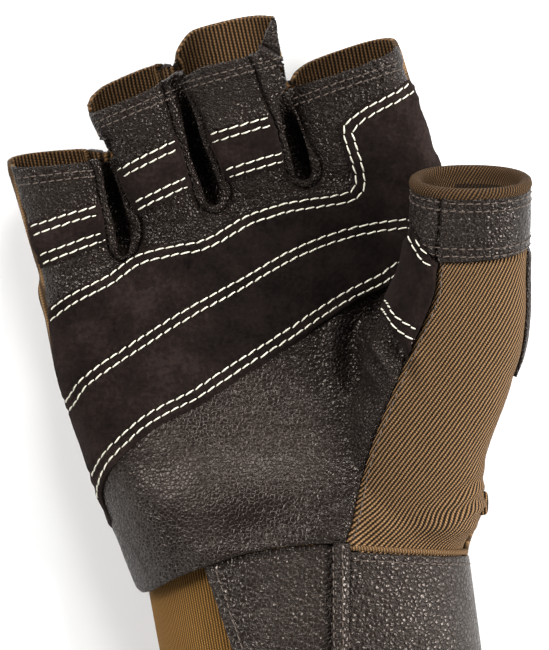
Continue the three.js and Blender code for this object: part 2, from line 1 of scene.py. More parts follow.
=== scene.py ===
"""Visual model of a fingerless leather sport glove, lying palm up on the back of the hand.

The hand's form is lofted, blended into one skin and cut into its sewn pieces along their seams.
Each piece gets its own thickness, edge and finish, and the stitching is laid on top. Lengths in the
functions are millimetres, which turn to metres where a mesh is made.
"""

import math
from collections import namedtuple
from functools import partial
from types import SimpleNamespace

import bpy
import numpy as np
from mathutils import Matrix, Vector
from mathutils.bvhtree import BVHTree


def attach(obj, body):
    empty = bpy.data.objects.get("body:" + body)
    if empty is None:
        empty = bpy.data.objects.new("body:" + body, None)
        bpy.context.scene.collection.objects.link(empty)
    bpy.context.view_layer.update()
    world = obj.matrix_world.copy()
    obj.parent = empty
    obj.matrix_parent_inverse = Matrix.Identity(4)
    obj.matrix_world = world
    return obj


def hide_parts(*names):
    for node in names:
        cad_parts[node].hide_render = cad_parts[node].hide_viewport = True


bl_info = {
    "name": "Fingerless sport glove",
    "version": (1, 0, 0),
    "blender": (4, 5, 0),
    "location": "View3D > Sidebar > Glove",
    "description": "Sewn leather glove with suede pads, ribbed thumb and a wrist wrap",
    "category": "Add Mesh",
}

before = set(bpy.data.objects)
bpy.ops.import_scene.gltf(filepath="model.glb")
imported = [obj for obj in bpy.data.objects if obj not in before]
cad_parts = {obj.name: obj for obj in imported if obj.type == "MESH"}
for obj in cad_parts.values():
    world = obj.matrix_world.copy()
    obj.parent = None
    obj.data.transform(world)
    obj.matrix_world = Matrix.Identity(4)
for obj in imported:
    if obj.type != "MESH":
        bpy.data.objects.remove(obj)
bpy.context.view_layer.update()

# What the operators hand on: the form, the pieces' top surfaces and their search trees.
SHAPE = {"tops": {}, "trees": {}}

# How the hand is held: the wrist's middle in millimetres, and angles in degrees.
WRIST = np.array([10.0, -34.0])
PALM_LEAN = 12.3
KNUCKLE_TURN = 18.0
FINGER_LEAN = 13.0
THUMB_LEAN = -11.5
THUMB_RISE = 18.0
RIB_LEAN = 36.0
CUFF_TURN = 9.0
CUFF_SLANT = 0.99  # the cosine of CUFF_TURN, rounded
WRIST_ALONG = -0.03  # the share of the palm's length where the cuff takes its width
CUFF_MIDDLE = 20.0  # height of the cuff's middle in millimetres
UPWARD = np.array([0, 0, 1.0])

# How square the rings are: 2 is an ellipse.
TOP_SQUARENESS = 2.3
LOW_SQUARENESS = 2.8
STALL_SQUARENESS = 2.7
THUMB_SQUARENESS = 2.2

# What the fields give where their line doesn't reach, in millimetres.
FAR_INSIDE = 99.0
FAR_OUTSIDE = -9.0
NO_GROOVE = 9.0

BAND_SEAM = -7.6  # the hem band's own seam, in millimetres across from the thumb's middle line
KNIT_WALL = 1.1  # thickness of the knit in millimetres
ROLLED_RIB = 81.6 / 108  # millimetres a rib, for 108 ribs round the thumb's lining
PULL_REACH = 6.0

# The camera sees 162.5 mm at a plane 22 mm above the floor.
CAMERA_DISTANCE = 1.5
FRAME_PLANE = 0.022
FRAME_HEIGHT = 0.1625
FRAME_CENTRE = (0.0006, 0.0245)
SOFTBOX_SIZE = 0.42
SOFTBOXES = [
    ("left softbox", (-0.75, 0.55, 0.85), 13.5),
    ("right softbox", (0.95, -0.05, 0.70), 23.0),
    ("top softbox", (0.1, 1.1, 0.9), 10.0),
]

# along is a share of the palm's length, shift and half of its width, turn of the knuckles'
# turn, and top and hollow of its thickness.
PalmRow = namedtuple("PalmRow", "along shift turn half top hollow")
PALM_ROWS = [
    PalmRow(-0.40, -0.030, 0.60, 0.360, 0.95, 0.00),
    PalmRow(-0.13, -0.035, 0.50, 0.385, 0.98, 0.00),
    PalmRow(-0.03, -0.033, 0.42, 0.400, 1.00, 0.00),
    PalmRow(0.18, -0.012, 0.20, 0.460, 1.00, 0.06),
    PalmRow(0.39, -0.034, 0.39, 0.443, 0.93, 0.13),
    PalmRow(0.66, -0.043, 0.66, 0.446, 0.80, 0.12),
    PalmRow(0.88, -0.013, 0.88, 0.480, 0.70, 0.05),
    PalmRow(1.00, 0.000, 1.00, 0.500, 0.64, 0.00),
    PalmRow(1.04, 0.000, 1.00, 0.468, 0.55, 0.00),
]

# root and tip are shares of half the palm's width at the knuckles and at the opening. length
# and thick are shares of the sizes, rise and turn are degrees, web is how far the skin between
# this stall and the next reaches past the knuckles, and dip how far the rim drops at its left
# and right end, in millimetres.
Stall = namedtuple("Stall", "name root tip length thick rise turn web dip")
STALLS = [
    Stall("pinky", (-1.0, -0.585), (-1.035, -0.585), 0.675, 0.83, (4, 14), 5, 5.8, (0, 0)),
    Stall("ring", (-0.585, -0.115), (-0.615, -0.13), 0.935, 0.92, (5, 20), 23, 11.0, (0.8, 0)),
    Stall("middle", (-0.115, 0.345), (-0.165, 0.42), 1.04, 1.00, (8, 32), 14, 8.0, (4.2, -3.5)),
    Stall("index", (0.345, 1.0), (0.36, 0.955), 0.70, 0.96, (6, 18), 19, 0.0, (1.0, 0)),
]

# Shares of the thumb's length, width and thickness along its axis.
ThumbRow = namedtuple("ThumbRow", "along side lift half thick")
THUMB_ROWS = [
    ThumbRow(-0.14, 0.00, 0.00, 0.500, 0.55),
    ThumbRow(0.00, 0.00, 0.00, 0.640, 0.76),
    ThumbRow(0.23, 0.00, 0.01, 0.660, 0.78),
    ThumbRow(0.43, 0.07, 0.01, 0.690, 0.75),
    ThumbRow(0.62, 0.09, 0.02, 0.620, 0.66),
    ThumbRow(0.76, 0.09, 0.02, 0.535, 0.57),
    ThumbRow(0.90, 0.05, 0.01, 0.510, 0.52),
    ThumbRow(1.00, 0.00, 0.00, 0.500, 0.50),
    ThumbRow(1.15, -0.05, 0.00, 0.500, 0.50),
]
# Shares of half the palm's width, of its length and of its thickness.
THUMB_ROOT = (0.562, 0.088, 0.46)

# Half the cuff's width, as a share of its width at the palm, by the share of its length.
CuffRow = namedtuple("CuffRow", "down half")
CUFF_ROWS = [CuffRow(0, 1.0), CuffRow(0.35, 0.985), CuffRow(0.7, 0.97), CuffRow(1, 0.965)]

# Lines on the glove, in shares of half the palm's width (across) and of its length (along).
At = namedtuple("At", "across along")

# The seam round each slot's lips, and the dark line between them with half its width in mm.
Slot = namedtuple("Slot", "name seam deep")
Deep = namedtuple("Deep", "across along half")
SLOTS = [
    Slot("pinky_ring", [
        At(-0.640, 1.366), At(-0.642, 1.307), At(-0.634, 1.200), At(-0.646, 1.078),
        At(-0.644, 1.043), At(-0.623, 1.011), At(-0.584, 0.998), At(-0.531, 1.007),
        At(-0.487, 1.044), At(-0.472, 1.085), At(-0.487, 1.124), At(-0.523, 1.210),
        At(-0.539, 1.296), At(-0.543, 1.354),
    ], [Deep(-0.577, 1.025, 1.0), Deep(-0.560, 1.082, 1.6), Deep(-0.567, 1.178, 1.5),
        Deep(-0.569, 1.288, 1.0), Deep(-0.582, 1.362, 0.9), Deep(-0.601, 1.449, 0.9)]),
    Slot("ring_middle", [
        At(-0.221, 1.504), At(-0.217, 1.443), At(-0.215, 1.379), At(-0.194, 1.242),
        At(-0.180, 1.125), At(-0.170, 1.084), At(-0.126, 1.053), At(-0.069, 1.047),
        At(-0.028, 1.066), At(-0.007, 1.097), At(-0.019, 1.135), At(-0.051, 1.230),
        At(-0.081, 1.343), At(-0.123, 1.445), At(-0.134, 1.506),
    ], [Deep(-0.099, 1.092, 1.5), Deep(-0.093, 1.120, 1.8), Deep(-0.123, 1.245, 1.8),
        Deep(-0.126, 1.384, 1.0), Deep(-0.147, 1.452, 0.8), Deep(-0.158, 1.514, 0.8),
        Deep(-0.175, 1.606, 0.8)]),
    Slot("middle_index", [
        At(0.209, 1.500), At(0.233, 1.402), At(0.252, 1.314), At(0.276, 1.221), At(0.286, 1.091),
        At(0.308, 1.057), At(0.351, 1.037), At(0.402, 1.037), At(0.445, 1.062), At(0.446, 1.100),
        At(0.408, 1.191), At(0.385, 1.299), At(0.388, 1.348), At(0.392, 1.406),
    ], [Deep(0.359, 1.084, 1.8), Deep(0.360, 1.128, 2.0), Deep(0.356, 1.199, 2.0),
        Deep(0.351, 1.268, 1.7), Deep(0.373, 1.339, 0.8), Deep(0.379, 1.412, 0.8),
        Deep(0.382, 1.515, 0.8)]),
]
PAD_TOP = [
    At(-1.2, 0.84), At(-1.0, 0.91), At(-0.864, 0.942), At(-0.728, 0.958), At(-0.667, 0.965),
    At(-0.597, 0.984), At(-0.518, 0.999), At(-0.441, 0.998), At(-0.325, 0.991), At(-0.21, 0.981),
    At(-0.132, 0.985), At(-0.052, 0.997), At(0.029, 1.008), At(0.108, 1.011), At(0.224, 1.01),
    At(0.323, 1.003), At(0.441, 0.991), At(0.543, 0.984), At(0.582, 0.988), At(0.602, 1.005),
    At(0.606, 1.035), At(0.604, 1.065), At(0.596, 1.104), At(0.593, 1.139), At(0.59, 1.163),
    At(0.60, 1.174), At(0.628, 1.182), At(0.713, 1.2), At(0.821, 1.213), At(0.889, 1.219),
    At(0.965, 1.234), At(1.08, 1.255), At(1.3, 1.29),
]
PAD_LOW = [
    At(1.3, 0.76), At(0.93, 0.745), At(0.824, 0.724), At(0.77, 0.715), At(0.667, 0.703),
    At(0.584, 0.691), At(0.488, 0.673), At(0.395, 0.654), At(0.288, 0.63), At(0.108, 0.594),
    At(-0.076, 0.555), At(-0.326, 0.496), At(-0.496, 0.466), At(-0.634, 0.434), At(-0.78, 0.38),
    At(-0.881, 0.33), At(-0.952, 0.269), At(-0.981, 0.22), At(-0.985, 0.18), At(-1.0, 0.12),
    At(-1.2, 0.02),
]
PAD_QUILT = [
    At(-1.05, 0.555), At(-0.987, 0.589), At(-0.895, 0.639), At(-0.652, 0.703), At(-0.322, 0.775),
    At(-0.002, 0.827), At(0.312, 0.873), At(0.624, 0.881), At(0.912, 0.862), At(1.02, 0.85),
]
THUMB_SEAM = [
    At(1.15, 0.93), At(1.042, 0.757), At(1.018, 0.669), At(0.783, 0.506), At(0.473, 0.306),
    At(0.296, 0.109), At(0.267, 0.025), At(0.24, -0.2),
]
CROTCH = [
    At(0.868, 0.842), At(0.834, 0.81), At(0.818, 0.778), At(0.804, 0.735), At(0.773, 0.704),
    At(0.751, 0.686), At(0.742, 0.664), At(0.762, 0.634), At(0.789, 0.6), At(0.811, 0.561),
    At(0.827, 0.528), At(0.85, 0.5), At(1.3, 0.5), At(1.3, 0.95), At(0.95, 0.9),
]
CROTCH_ROWS = [
    [At(0.885, 0.855), At(0.898, 0.839), At(0.909, 0.817), At(0.935, 0.798), At(0.977, 0.777),
     At(1.017, 0.767), At(1.07, 0.757)],
    [At(0.86, 0.848), At(0.868, 0.831), At(0.895, 0.807), At(0.928, 0.782), At(0.96, 0.762),
     At(0.995, 0.749), At(1.06, 0.738)],
    [At(0.765, 0.692), At(0.783, 0.675), At(0.804, 0.648), At(0.853, 0.625), At(0.906, 0.602),
     At(0.96, 0.582)],
    [At(0.745, 0.675), At(0.758, 0.66), At(0.783, 0.632), At(0.814, 0.608), At(0.86, 0.586),
     At(0.94, 0.560)],
]
INDEX_SEAM = [
    At(0.77, 1.37), At(0.788, 1.34), At(0.819, 1.292), At(0.822, 1.253), At(0.811, 1.223),
]
THUMB_FORK = 0.6  # above this share along, the ribbed panel is on the thumb only
TAB_PLACE = At(1.015, 0.125)

# Places in metres where the leather's grain is flat, and where painted shade darkens the suede.
PALM_MIDDLE = (-0.012, -0.008, 0.036)
PALM_HOLLOW = (0.010, 0.038, 0.034)

# Where the wrap starts: a share across the cuff, and the rise over its top in shares of its length.
WristRow = namedtuple("WristRow", "across rise")
WRIST_LINE = [
    WristRow(-1.53, 0.5), WristRow(-1.146, 0.13), WristRow(-1.112, 0.07), WristRow(-1.074, 0.022),
    WristRow(-1.011, 0.012), WristRow(-0.954, 0.02), WristRow(-0.781, 0.055),
    WristRow(-0.579, 0.079), WristRow(-0.31, 0.102), WristRow(0.008, 0.102),
    WristRow(0.306, 0.081), WristRow(0.681, 0.035), WristRow(1.094, -0.014),
    WristRow(1.546, -0.06),
]

# Suede patches on the stalls, from and to in millimetres past the knuckles, turned in degrees.
Patch = namedtuple("Patch", "stall low high turn")
PATCHES = [Patch(0, 5.0, 16.0, 5), Patch(1, 10.7, 24.2, 6), Patch(2, 10.6, 24.3, 0)]

# Creases pressed into the palm by the thumb: points in palm shares, depth and width in mm.
Crease = namedtuple("Crease", "points depth width")
CREASES = [
    Crease([At(0.748, 0.7), At(0.693, 0.678), At(0.619, 0.65), At(0.574, 0.612), At(0.541, 0.561),
            At(0.531, 0.519), At(0.551, 0.476), At(0.58, 0.432)], 3.2, 2.6),
    Crease([At(0.745, 0.692), At(0.73, 0.644), At(0.748, 0.605), At(0.782, 0.559), At(0.81, 0.529),
            At(0.80, 0.45)], 2.6, 1.9),
    Crease([At(0.67, 0.61), At(0.655, 0.587), At(0.651, 0.555), At(0.665, 0.515), At(0.68, 0.49)],
           1.5, 1.2),
    Crease([At(-0.80, 0.36), At(-0.62, 0.30), At(-0.45, 0.30)], 0.4, 4.0),
    Crease([At(-0.6, 0.04), At(-0.1, 0.12), At(0.2, 0.09)], 0.5, 5.0),
]

# Where the form is moved sideways so that its outline follows the photograph's: a place in the
# plan and how far to the right, in millimetres. They fade out over PULL_REACH.
Pull = namedtuple("Pull", "x y right")
PULLS = [
    Pull(-63.3, 58.8, -1.25), Pull(-61.5, 52.8, -1.4), Pull(-59.8, 46.8, -1.6),
    Pull(-57.5, 40.8, -2.1), Pull(-56.5, 34.8, -1.5), Pull(-55.5, 28.8, -1.9),
    Pull(-53.8, 22.8, -2.5), Pull(-52.5, 16.8, -2.6), Pull(-51.0, 10.8, -2.8),
    Pull(-49.5, 4.8, -2.5), Pull(-47.8, -1.3, -2.0), Pull(-46.3, -7.3, -1.25),
    Pull(-45.0, -13.3, -0.3), Pull(32.2, 88.8, 1.0), Pull(34.5, 82.8, 1.25), Pull(36.2, 76.8, 1.7),
    Pull(38.5, 70.8, 1.25), Pull(41.2, 64.8, 0.5), Pull(60.2, 7.8, -1.5), Pull(57.7, 1.8, -1.0),
    Pull(55.2, -4.3, -0.7), Pull(49.5, -25.3, 1.7), Pull(48.5, -28.3, 1.2), Pull(-41.3, 56.0, 1.8),
    Pull(-42.3, 60.0, 1.9), Pull(-40.2, 52.3, 1.9), Pull(-39.1, 48.0, 1.7), Pull(-43.5, 64.8, 1.9),
    Pull(-47.0, 78.8, 0.0), Pull(-16.9, 58.8, 1.6), Pull(-19.6, 68.8, 0.7), Pull(-21.4, 75.3, 1.0),
    Pull(2.2, 92.2, 1.4), Pull(3.1, 88.4, 1.3), Pull(1.7, 95.4, 1.0), Pull(1.2, 101.0, 0.2),
]

# Edges of the wrap pieces, as shares of the cuff's half width at its top and bottom. The strap
# ends on the back. The strips start above the wrist line and are trimmed to it.
PANEL_EDGE = (-0.557, -0.27)
STRAP_EDGE = (0.183, -0.086)
STRAP_BACK_EDGE = -0.62
STRIP_TOP = -0.2

# Stitch rows: below a stall's rim and the thumb's, above the hem band's lower edge, and in from
# the edges of the pad and of the stall patches, in millimetres.
HEM_ROWS = (2.3, 4.0)
BAND_ROWS = (1.8, 3.7)
BAND_LOW_ROWS = (1.6, 3.5)
PAD_INSET = 1.75
PATCH_INSET = 0.9

# A sewn piece as cut: width and length in metres, how it is held, and its area where it is
# not a rectangle.
Cut = namedtuple("Cut", "flat held area")


def size_property(label, about, value):
    return bpy.props.FloatProperty(name=label, description=about, default=value, unit="LENGTH")


def colour_property(label, about, value):
    return bpy.props.FloatVectorProperty(
        name=label, description=about, default=value, size=3, subtype="COLOR")


class GloveSizes(bpy.types.PropertyGroup):
    """Sizes of the glove that a user would change."""

    palm_length: size_property("Palm length", "Wrist to knuckles", 0.086)
    palm_width: size_property("Palm width", "Across the knuckles, outside", 0.103)
    palm_thickness: size_property("Palm thickness", "Back to palm at the heel", 0.042)
    finger_length: size_property("Finger length", "Longest stall", 0.045)
    finger_thickness: size_property("Finger thickness", "Thickest stall", 0.021)
    finger_gap: size_property("Finger gap", "Slot between two stalls", 0.0028)
    thumb_length: size_property("Thumb length", "Root to opening", 0.090)
    thumb_width: size_property("Thumb width", "Width at the opening", 0.029)
    thumb_thickness: size_property("Thumb thickness", "Thickness at the opening", 0.022)
    band_length: size_property("Thumb band", "Length of the hem band", 0.0165)
    seam_height: size_property("Seam height", "Side seam above the floor", 0.014)
    cuff_length: size_property("Cuff length", "Wrist wrap below the palm", 0.070)
    strap_thickness: size_property("Strap thickness", "Padded leather strap", 0.003)
    leather_thickness: size_property("Leather thickness", "Palm leather", 0.0012)
    suede_thickness: size_property("Suede thickness", "Pads and patches", 0.0012)
    thread: size_property("Thread", "Thread thickness", 0.00039)
    stitch: size_property("Stitch length", "Length of one stitch", 0.0025)
    row_gap: size_property("Row gap", "Between the two rows of a seam", 0.0021)
    grain: size_property("Mesh grain", "Size of the form's faces", 0.0009)


class GloveColours(bpy.types.PropertyGroup):
    """Colours of the glove's finishes."""

    leather: colour_property("Leather", "Dark brown nappa", (0.0130, 0.0083, 0.0066))
    suede: colour_property("Suede", "Dark brown suede", (0.0105, 0.0068, 0.0058))
    ribbed: colour_property("Ribbed knit", "Tan rib of the thumb", (0.192, 0.109, 0.049))
    lining: colour_property("Lining", "Inside of the brown knit", (0.115, 0.062, 0.026))
    elastic: colour_property("Elastic", "Golden tan elastic", (0.170, 0.085, 0.021))
    white_thread: colour_property("White thread", "Off-white thread", (0.80, 0.76, 0.62))
    brown_thread: colour_property("Brown thread", "Thread of the hems", (0.105, 0.078, 0.062))


# Helpers for numbers and lines.


def mm(value):
    return value * 1000.0


def plan(angle):
    """Unit vector in the plan, turned left of +X by an angle in degrees."""
    a = math.radians(angle)
    return np.array([math.cos(a), math.sin(a)])


def column(rows, place, key, at):
    """Smooth value of one column at a place along a table, straight beyond its ends."""
    xs = [getattr(r, place) for r in rows]
    ys = [getattr(r, key) for r in rows]
    i = 0
    while i < len(xs) - 2 and at > xs[i + 1]:
        i += 1
    step = xs[i + 1] - xs[i]
    t = (at - xs[i]) / step
    if t < 0 or t > 1:
        return ys[i] + (ys[i + 1] - ys[i]) * t
    b, a = max(i - 1, 0), min(i + 2, len(xs) - 1)
    rise = ys[i + 1] - ys[i]
    slope_a = (ys[i + 1] - ys[b]) / (xs[i + 1] - xs[b]) * step
    slope_b = (ys[a] - ys[i]) / (xs[a] - xs[i]) * step
    return ys[i] + rise * t + t * (1 - t) * ((1 - t) * (slope_a - rise) + t * (rise - slope_b))


def smooth(x, low, high):
    t = np.clip((x - low) / (high - low), 0, 1)
    return t * t * (3 - 2 * t)


def rounded(angle, squareness):
    """Points of a superellipse, as two arrays."""
    power = 2.0 / squareness
    c, s = np.cos(angle), np.sin(angle)
    return np.sign(c) * np.abs(c) ** power, np.sign(s) * np.abs(s) ** power


def curve_through(points, step, closed=False):
    """Smooth line through control points, evenly spaced."""
    p = np.asarray(points, float)
    if closed:
        p = np.vstack([p[-1], p, p[0], p[1]])
    else:
        p = np.vstack([2 * p[0] - p[1], p, 2 * p[-1] - p[-2]])
    t = np.linspace(0, 1, 17)[:-1, None]
    out = []
    for a, b, c, d in zip(p, p[1:], p[2:], p[3:]):
        out.append(0.5 * (2 * b + (c - a) * t + (2 * a - 5 * b + 4 * c - d) * t ** 2
                          + (3 * b - a - 3 * c + d) * t ** 3))
    return spaced(np.vstack(out + [p[-2][None]]), step)


def run_lengths(line):
    """Distance from a line's start to each of its points, along the line."""
    return np.concatenate([[0], np.cumsum(np.linalg.norm(np.diff(line, axis=0), axis=1))])


def points_at(at, lengths, line):
    """Points of a line at distances from its start."""
    return np.stack([np.interp(at, lengths, line[:, k]) for k in range(line.shape[1])], 1)


def spaced(line, step):
    """The same line with points about step apart."""
    lengths = run_lengths(line)
    count = max(2, int(round(lengths[-1] / step)) + 1)
    return points_at(np.linspace(0, lengths[-1], count), lengths, line)


def beside(line, distance):
    """The line moved to its left by a distance, with its corners kept sharp."""
    d = np.diff(line, axis=0)
    d /= np.linalg.norm(d, axis=1)[:, None]
    n = np.stack([-d[:, 1], d[:, 0]], 1)
    left = np.vstack([n[0], n])
    right = np.vstack([n, n[-1]])
    mid = left + right
    mid /= np.linalg.norm(mid, axis=1)[:, None]
    return line + mid * distance / np.maximum((mid * left).sum(1), 0.5)[:, None]


def line_distance(xy, line, with_share=False):
    """Distance of plan points to a line of points, and the share of the line's length there."""
    best = np.full(len(xy), 1e9)
    share = np.zeros(len(xy))
    lengths = run_lengths(line)
    for i, (a, b) in enumerate(zip(line, line[1:])):
        ab = b - a
        t = np.clip(((xy - a) @ ab) / max(ab @ ab, 1e-12), 0, 1)
        d = np.hypot(*(xy - a - t[:, None] * ab).T)
        closer = d < best
        best[closer] = d[closer]
        share[closer] = (lengths[i] + t[closer] * (lengths[i + 1] - lengths[i])) / lengths[-1]
    return (best, share) if with_share else best


def outline_field(xy, outline):
    """Signed distance in the plan to a closed outline, positive inside."""
    line = np.vstack([outline, outline[:1]])
    inside = np.zeros(len(xy), bool)
    for a, b in zip(line, line[1:]):
        if a[1] == b[1]:
            continue
        crosses = (a[1] > xy[:, 1]) != (b[1] > xy[:, 1])
        x = a[0] + (xy[:, 1] - a[1]) / (b[1] - a[1]) * (b[0] - a[0])
        inside ^= crosses & (xy[:, 0] < x)
    d = line_distance(xy, line)
    return np.where(inside, d, -d)


def crumple(points, scale, seed):
    """Smooth random relief from -1 to 1; scale is the size of its cells in millimetres."""
    p = points / np.asarray(scale) + 37.7 * (seed + 1)
    base = np.floor(p).astype(np.int64)
    f = p - base
    f = f * f * (3 - 2 * f)
    total = np.zeros(len(points))
    for corner in range(8):
        bits = np.array([corner & 1, (corner >> 1) & 1, (corner >> 2) & 1])
        x, y, z = (base + bits).T
        mixed = (x * 73856093) ^ (y * 19349663) ^ (z * 83492791) ^ (seed * 2654435761)
        value = ((mixed & 0xFFFF) / 32767.5) - 1.0
        total += value * np.prod(np.where(bits, f, 1 - f), axis=1)
    return total


# The hand's form.


def hand():
    """The glove's sizes in millimetres, with the axes that follow from them."""
    sizes = bpy.context.scene.glove_sizes
    h = SimpleNamespace(**{name: mm(getattr(sizes, name)) for name in GloveSizes.__annotations__})
    h.palm_axis = plan(90 + PALM_LEAN)
    h.finger_axis = plan(90 + FINGER_LEAN)
    h.knuckles, h.knuckle_across, h.knuckle_half, _, _ = palm_station(h, 1.0)
    rise = math.radians(THUMB_RISE)
    lean = plan(90 + THUMB_LEAN)
    h.thumb_axis = np.array([*(lean * math.cos(rise)), math.sin(rise)])
    h.thumb_across = np.array([1.0, 0, 0])
    h.thumb_up = np.array([0, -math.sin(rise), math.cos(rise)])
    h.thumb_base = np.array([*palm_point(h, *THUMB_ROOT[:2]), THUMB_ROOT[2] * h.palm_thickness])
    h.tab = palm_point(h, *TAB_PLACE)
    h.cuff_across = plan(CUFF_TURN)
    h.cuff_down = np.array([h.cuff_across[1], -h.cuff_across[0]])
    wrist, _, half, _, _ = palm_station(h, WRIST_ALONG)
    h.cuff_half = half - 2.4
    h.cuff_low = h.strap_thickness + 0.3
    h.cuff_top = h.palm_thickness * 0.955 - 2.3
    h.cuff_centre = wrist + h.cuff_across * 0.3
    return h


def palm_station(h, along):
    """Centre, direction across, half width, top and hollow of the palm at a share of its length."""
    value = {k: column(PALM_ROWS, "along", k, along) for k in PalmRow._fields[1:]}
    across = plan(value["turn"] * KNUCKLE_TURN)
    centre = (WRIST + plan(90 + PALM_LEAN) * along * h.palm_length
              + across * value["shift"] * h.palm_width)
    return (centre, across, value["half"] * h.palm_width, value["top"] * h.palm_thickness,
            value["hollow"] * h.palm_thickness)


def palm_point(h, across, along):
    """Plan point at shares of half the palm's width and of its length."""
    centre, direction, half, _, _ = palm_station(h, min(along, 1.0))
    return centre + h.palm_axis * max(along - 1.0, 0) * h.palm_length + direction * across * half


def palm_line(h, points, step=1.5, closed=False):
    return curve_through([palm_point(h, *p) for p in points], step, closed)


def hand_ring(h, centre, across, half, top, floor, hollow, count):
    """Ring round the palm or the cuff: rounder above the side seam than below it."""
    angle = np.linspace(0, 2 * math.pi, count, endpoint=False)
    upper = np.sin(angle) >= 0
    c_up, s_up = rounded(angle, TOP_SQUARENESS)
    c_low, s_low = rounded(angle, LOW_SQUARENESS)
    c, s = np.where(upper, c_up, c_low), np.where(upper, s_up, s_low)
    dip = np.where(upper, hollow * (1 - c * c) ** 2, 0)
    z = h.seam_height + s * np.where(upper, top - h.seam_height, h.seam_height - floor + 2) - dip
    xy = centre + (c * half)[:, None] * across
    return np.column_stack([xy, np.maximum(z, floor)])


def stall_station(h, stall, at):
    """Centre, directions across and up, half width and half thickness at a share of a stall."""
    held = max(at, 0)
    left, right = [(stall.root[k] + (stall.tip[k] - stall.root[k]) * held) * h.knuckle_half
                   for k in (0, 1)]
    half = (right - left - h.finger_gap * (1 - min(held, 1) * 0.55)) / 2
    reach = at * stall.length * h.finger_length
    rise = math.radians(stall.rise[0] + (stall.rise[1] - stall.rise[0]) * held)
    mean = math.radians(stall.rise[0] + (stall.rise[1] - stall.rise[0]) * held / 2)
    xy = (h.knuckles + h.knuckle_across * (left + right) / 2
          + h.finger_axis * reach * math.cos(mean))
    across = plan(KNUCKLE_TURN + (stall.turn - KNUCKLE_TURN) * held)
    up = np.array([*(-h.finger_axis * math.sin(rise)), math.cos(rise)])
    centre = np.array([*xy, h.seam_height + reach * math.sin(mean)])
    return centre, np.array([*across, 0.0]), up, half, stall.thick * h.finger_thickness / 2


def ring_of(centre, across, up, half, thick, squareness, count):
    angle = np.linspace(0, 2 * math.pi, count, endpoint=False)
    c, s = rounded(angle, squareness)
    return centre + c[:, None] * half * across + s[:, None] * thick * up


def thumb_station(h, along):
    """Centre, half width and half thickness of the thumb at a share of its length."""
    value = {k: column(THUMB_ROWS, "along", k, along) for k in ThumbRow._fields[1:]}
    centre = (h.thumb_base + h.thumb_axis * along * h.thumb_length
              + h.thumb_across * value["side"] * h.thumb_width
              + h.thumb_up * value["lift"] * h.thumb_length)
    return centre, value["half"] * h.thumb_width, value["thick"] * h.thumb_thickness


def thumb_ring(h, along, grow, count):
    centre, half, thick = thumb_station(h, along)
    ring = ring_of(centre, h.thumb_across, h.thumb_up, half + grow, thick + grow,
                   THUMB_SQUARENESS, count)
    ring[:, 2] = np.maximum(ring[:, 2], 0)
    return ring


def cuff_point(h, across, down):
    half = h.cuff_half * column(CUFF_ROWS, "down", "half", down)
    return h.cuff_centre + h.cuff_down * down * h.cuff_length + h.cuff_across * across * half


def cuff_ring(h, down, grow, count):
    half = h.cuff_half * column(CUFF_ROWS, "down", "half", down) + grow
    return hand_ring(h, cuff_point(h, 0, down), h.cuff_across, half, h.cuff_top + grow,
                     h.cuff_low - grow, 0, count)


def loft(rings, caps=True):
    """Points and faces through rings of equal count."""
    count = len(rings[0])
    points = np.vstack(rings)
    faces = []
    for r in range(len(rings) - 1):
        for j in range(count):
            a, b = r * count + j, r * count + (j + 1) % count
            faces.append((a, a + count, b + count, b))
    if caps:
        faces.append(tuple(range(count)))
        faces.append(tuple(reversed(range(len(points) - count, len(points)))))
    return points, faces


def grid_faces(rows, columns):
    """Faces of an open grid of points, row by row."""
    corners = [(r * columns + j, (r + 1) * columns + j) for r in range(rows - 1)
               for j in range(columns - 1)]
    return [(a, b, b + 1, a + 1) for a, b in corners]


def new_object(name, points, faces):
    """An object in metres from points in millimetres."""
    mesh = bpy.data.meshes.new(name)
    mesh.from_pydata([tuple(p) for p in np.asarray(points) * 0.001], [],
                     [tuple(f) for f in faces])
    mesh.update()
    piece = bpy.data.objects.new(name, mesh)
    bpy.context.scene.collection.objects.link(piece)
    return piece


def select_only(*objects):
    bpy.ops.object.select_all(action="DESELECT")
    for o in objects:
        o.select_set(True)
    bpy.context.view_layer.objects.active = objects[0]


def pulled(points):
    """The form's points after the sideways moves of PULLS."""
    total, weight = np.zeros(len(points)), np.zeros(len(points))
    for pull in PULLS:
        away = (points[:, 0] - pull.x) ** 2 + (points[:, 1] - pull.y) ** 2
        near = np.exp(-away / (2 * PULL_REACH ** 2))
        total += near * pull.right
        weight += near
    moved = points.copy()
    moved[:, 0] += total / np.maximum(weight, 1.0)
    return moved


def slot_floor(h, left, right):
    """Rings where the sides of two stalls press together, deep in the slot between them."""
    rings = []
    reach = min(left.length, right.length) * h.finger_length - 3.5
    for out in np.linspace(left.web - 6, reach, 14):
        sides = []
        for stall, side in ((left, 1), (right, -1)):
            at = out / (stall.length * h.finger_length)
            centre, across, _, half, _ = stall_station(h, stall, at)
            sides.append(centre + across * side * half)
        middle = (sides[0] + sides[1]) / 2
        rings.append(ring_of(middle, np.array([*h.knuckle_across, 0]), UPWARD, 2.0, 5.5, 2.2, 24))
    return rings


def slot_web(h, stall):
    """Rings of the rounded skin that closes the slot after a stall."""
    xy = (h.knuckles + h.knuckle_across * stall.root[1] * h.knuckle_half
          + h.finger_axis * (stall.web - 9.5))
    rings = []
    for v in np.linspace(-math.pi / 2 + 0.02, math.pi / 2 - 0.02, 13):
        centre = np.array([*(xy + h.finger_axis * 9.0 * math.sin(v)), h.seam_height + 1])
        r = math.cos(v)
        rings.append(ring_of(centre, np.array([*h.knuckle_across, 0]), UPWARD,
                             5.5 * r + 0.05, 10.5 * r ** 0.6 + 0.05, 2.3, 24))
    return rings


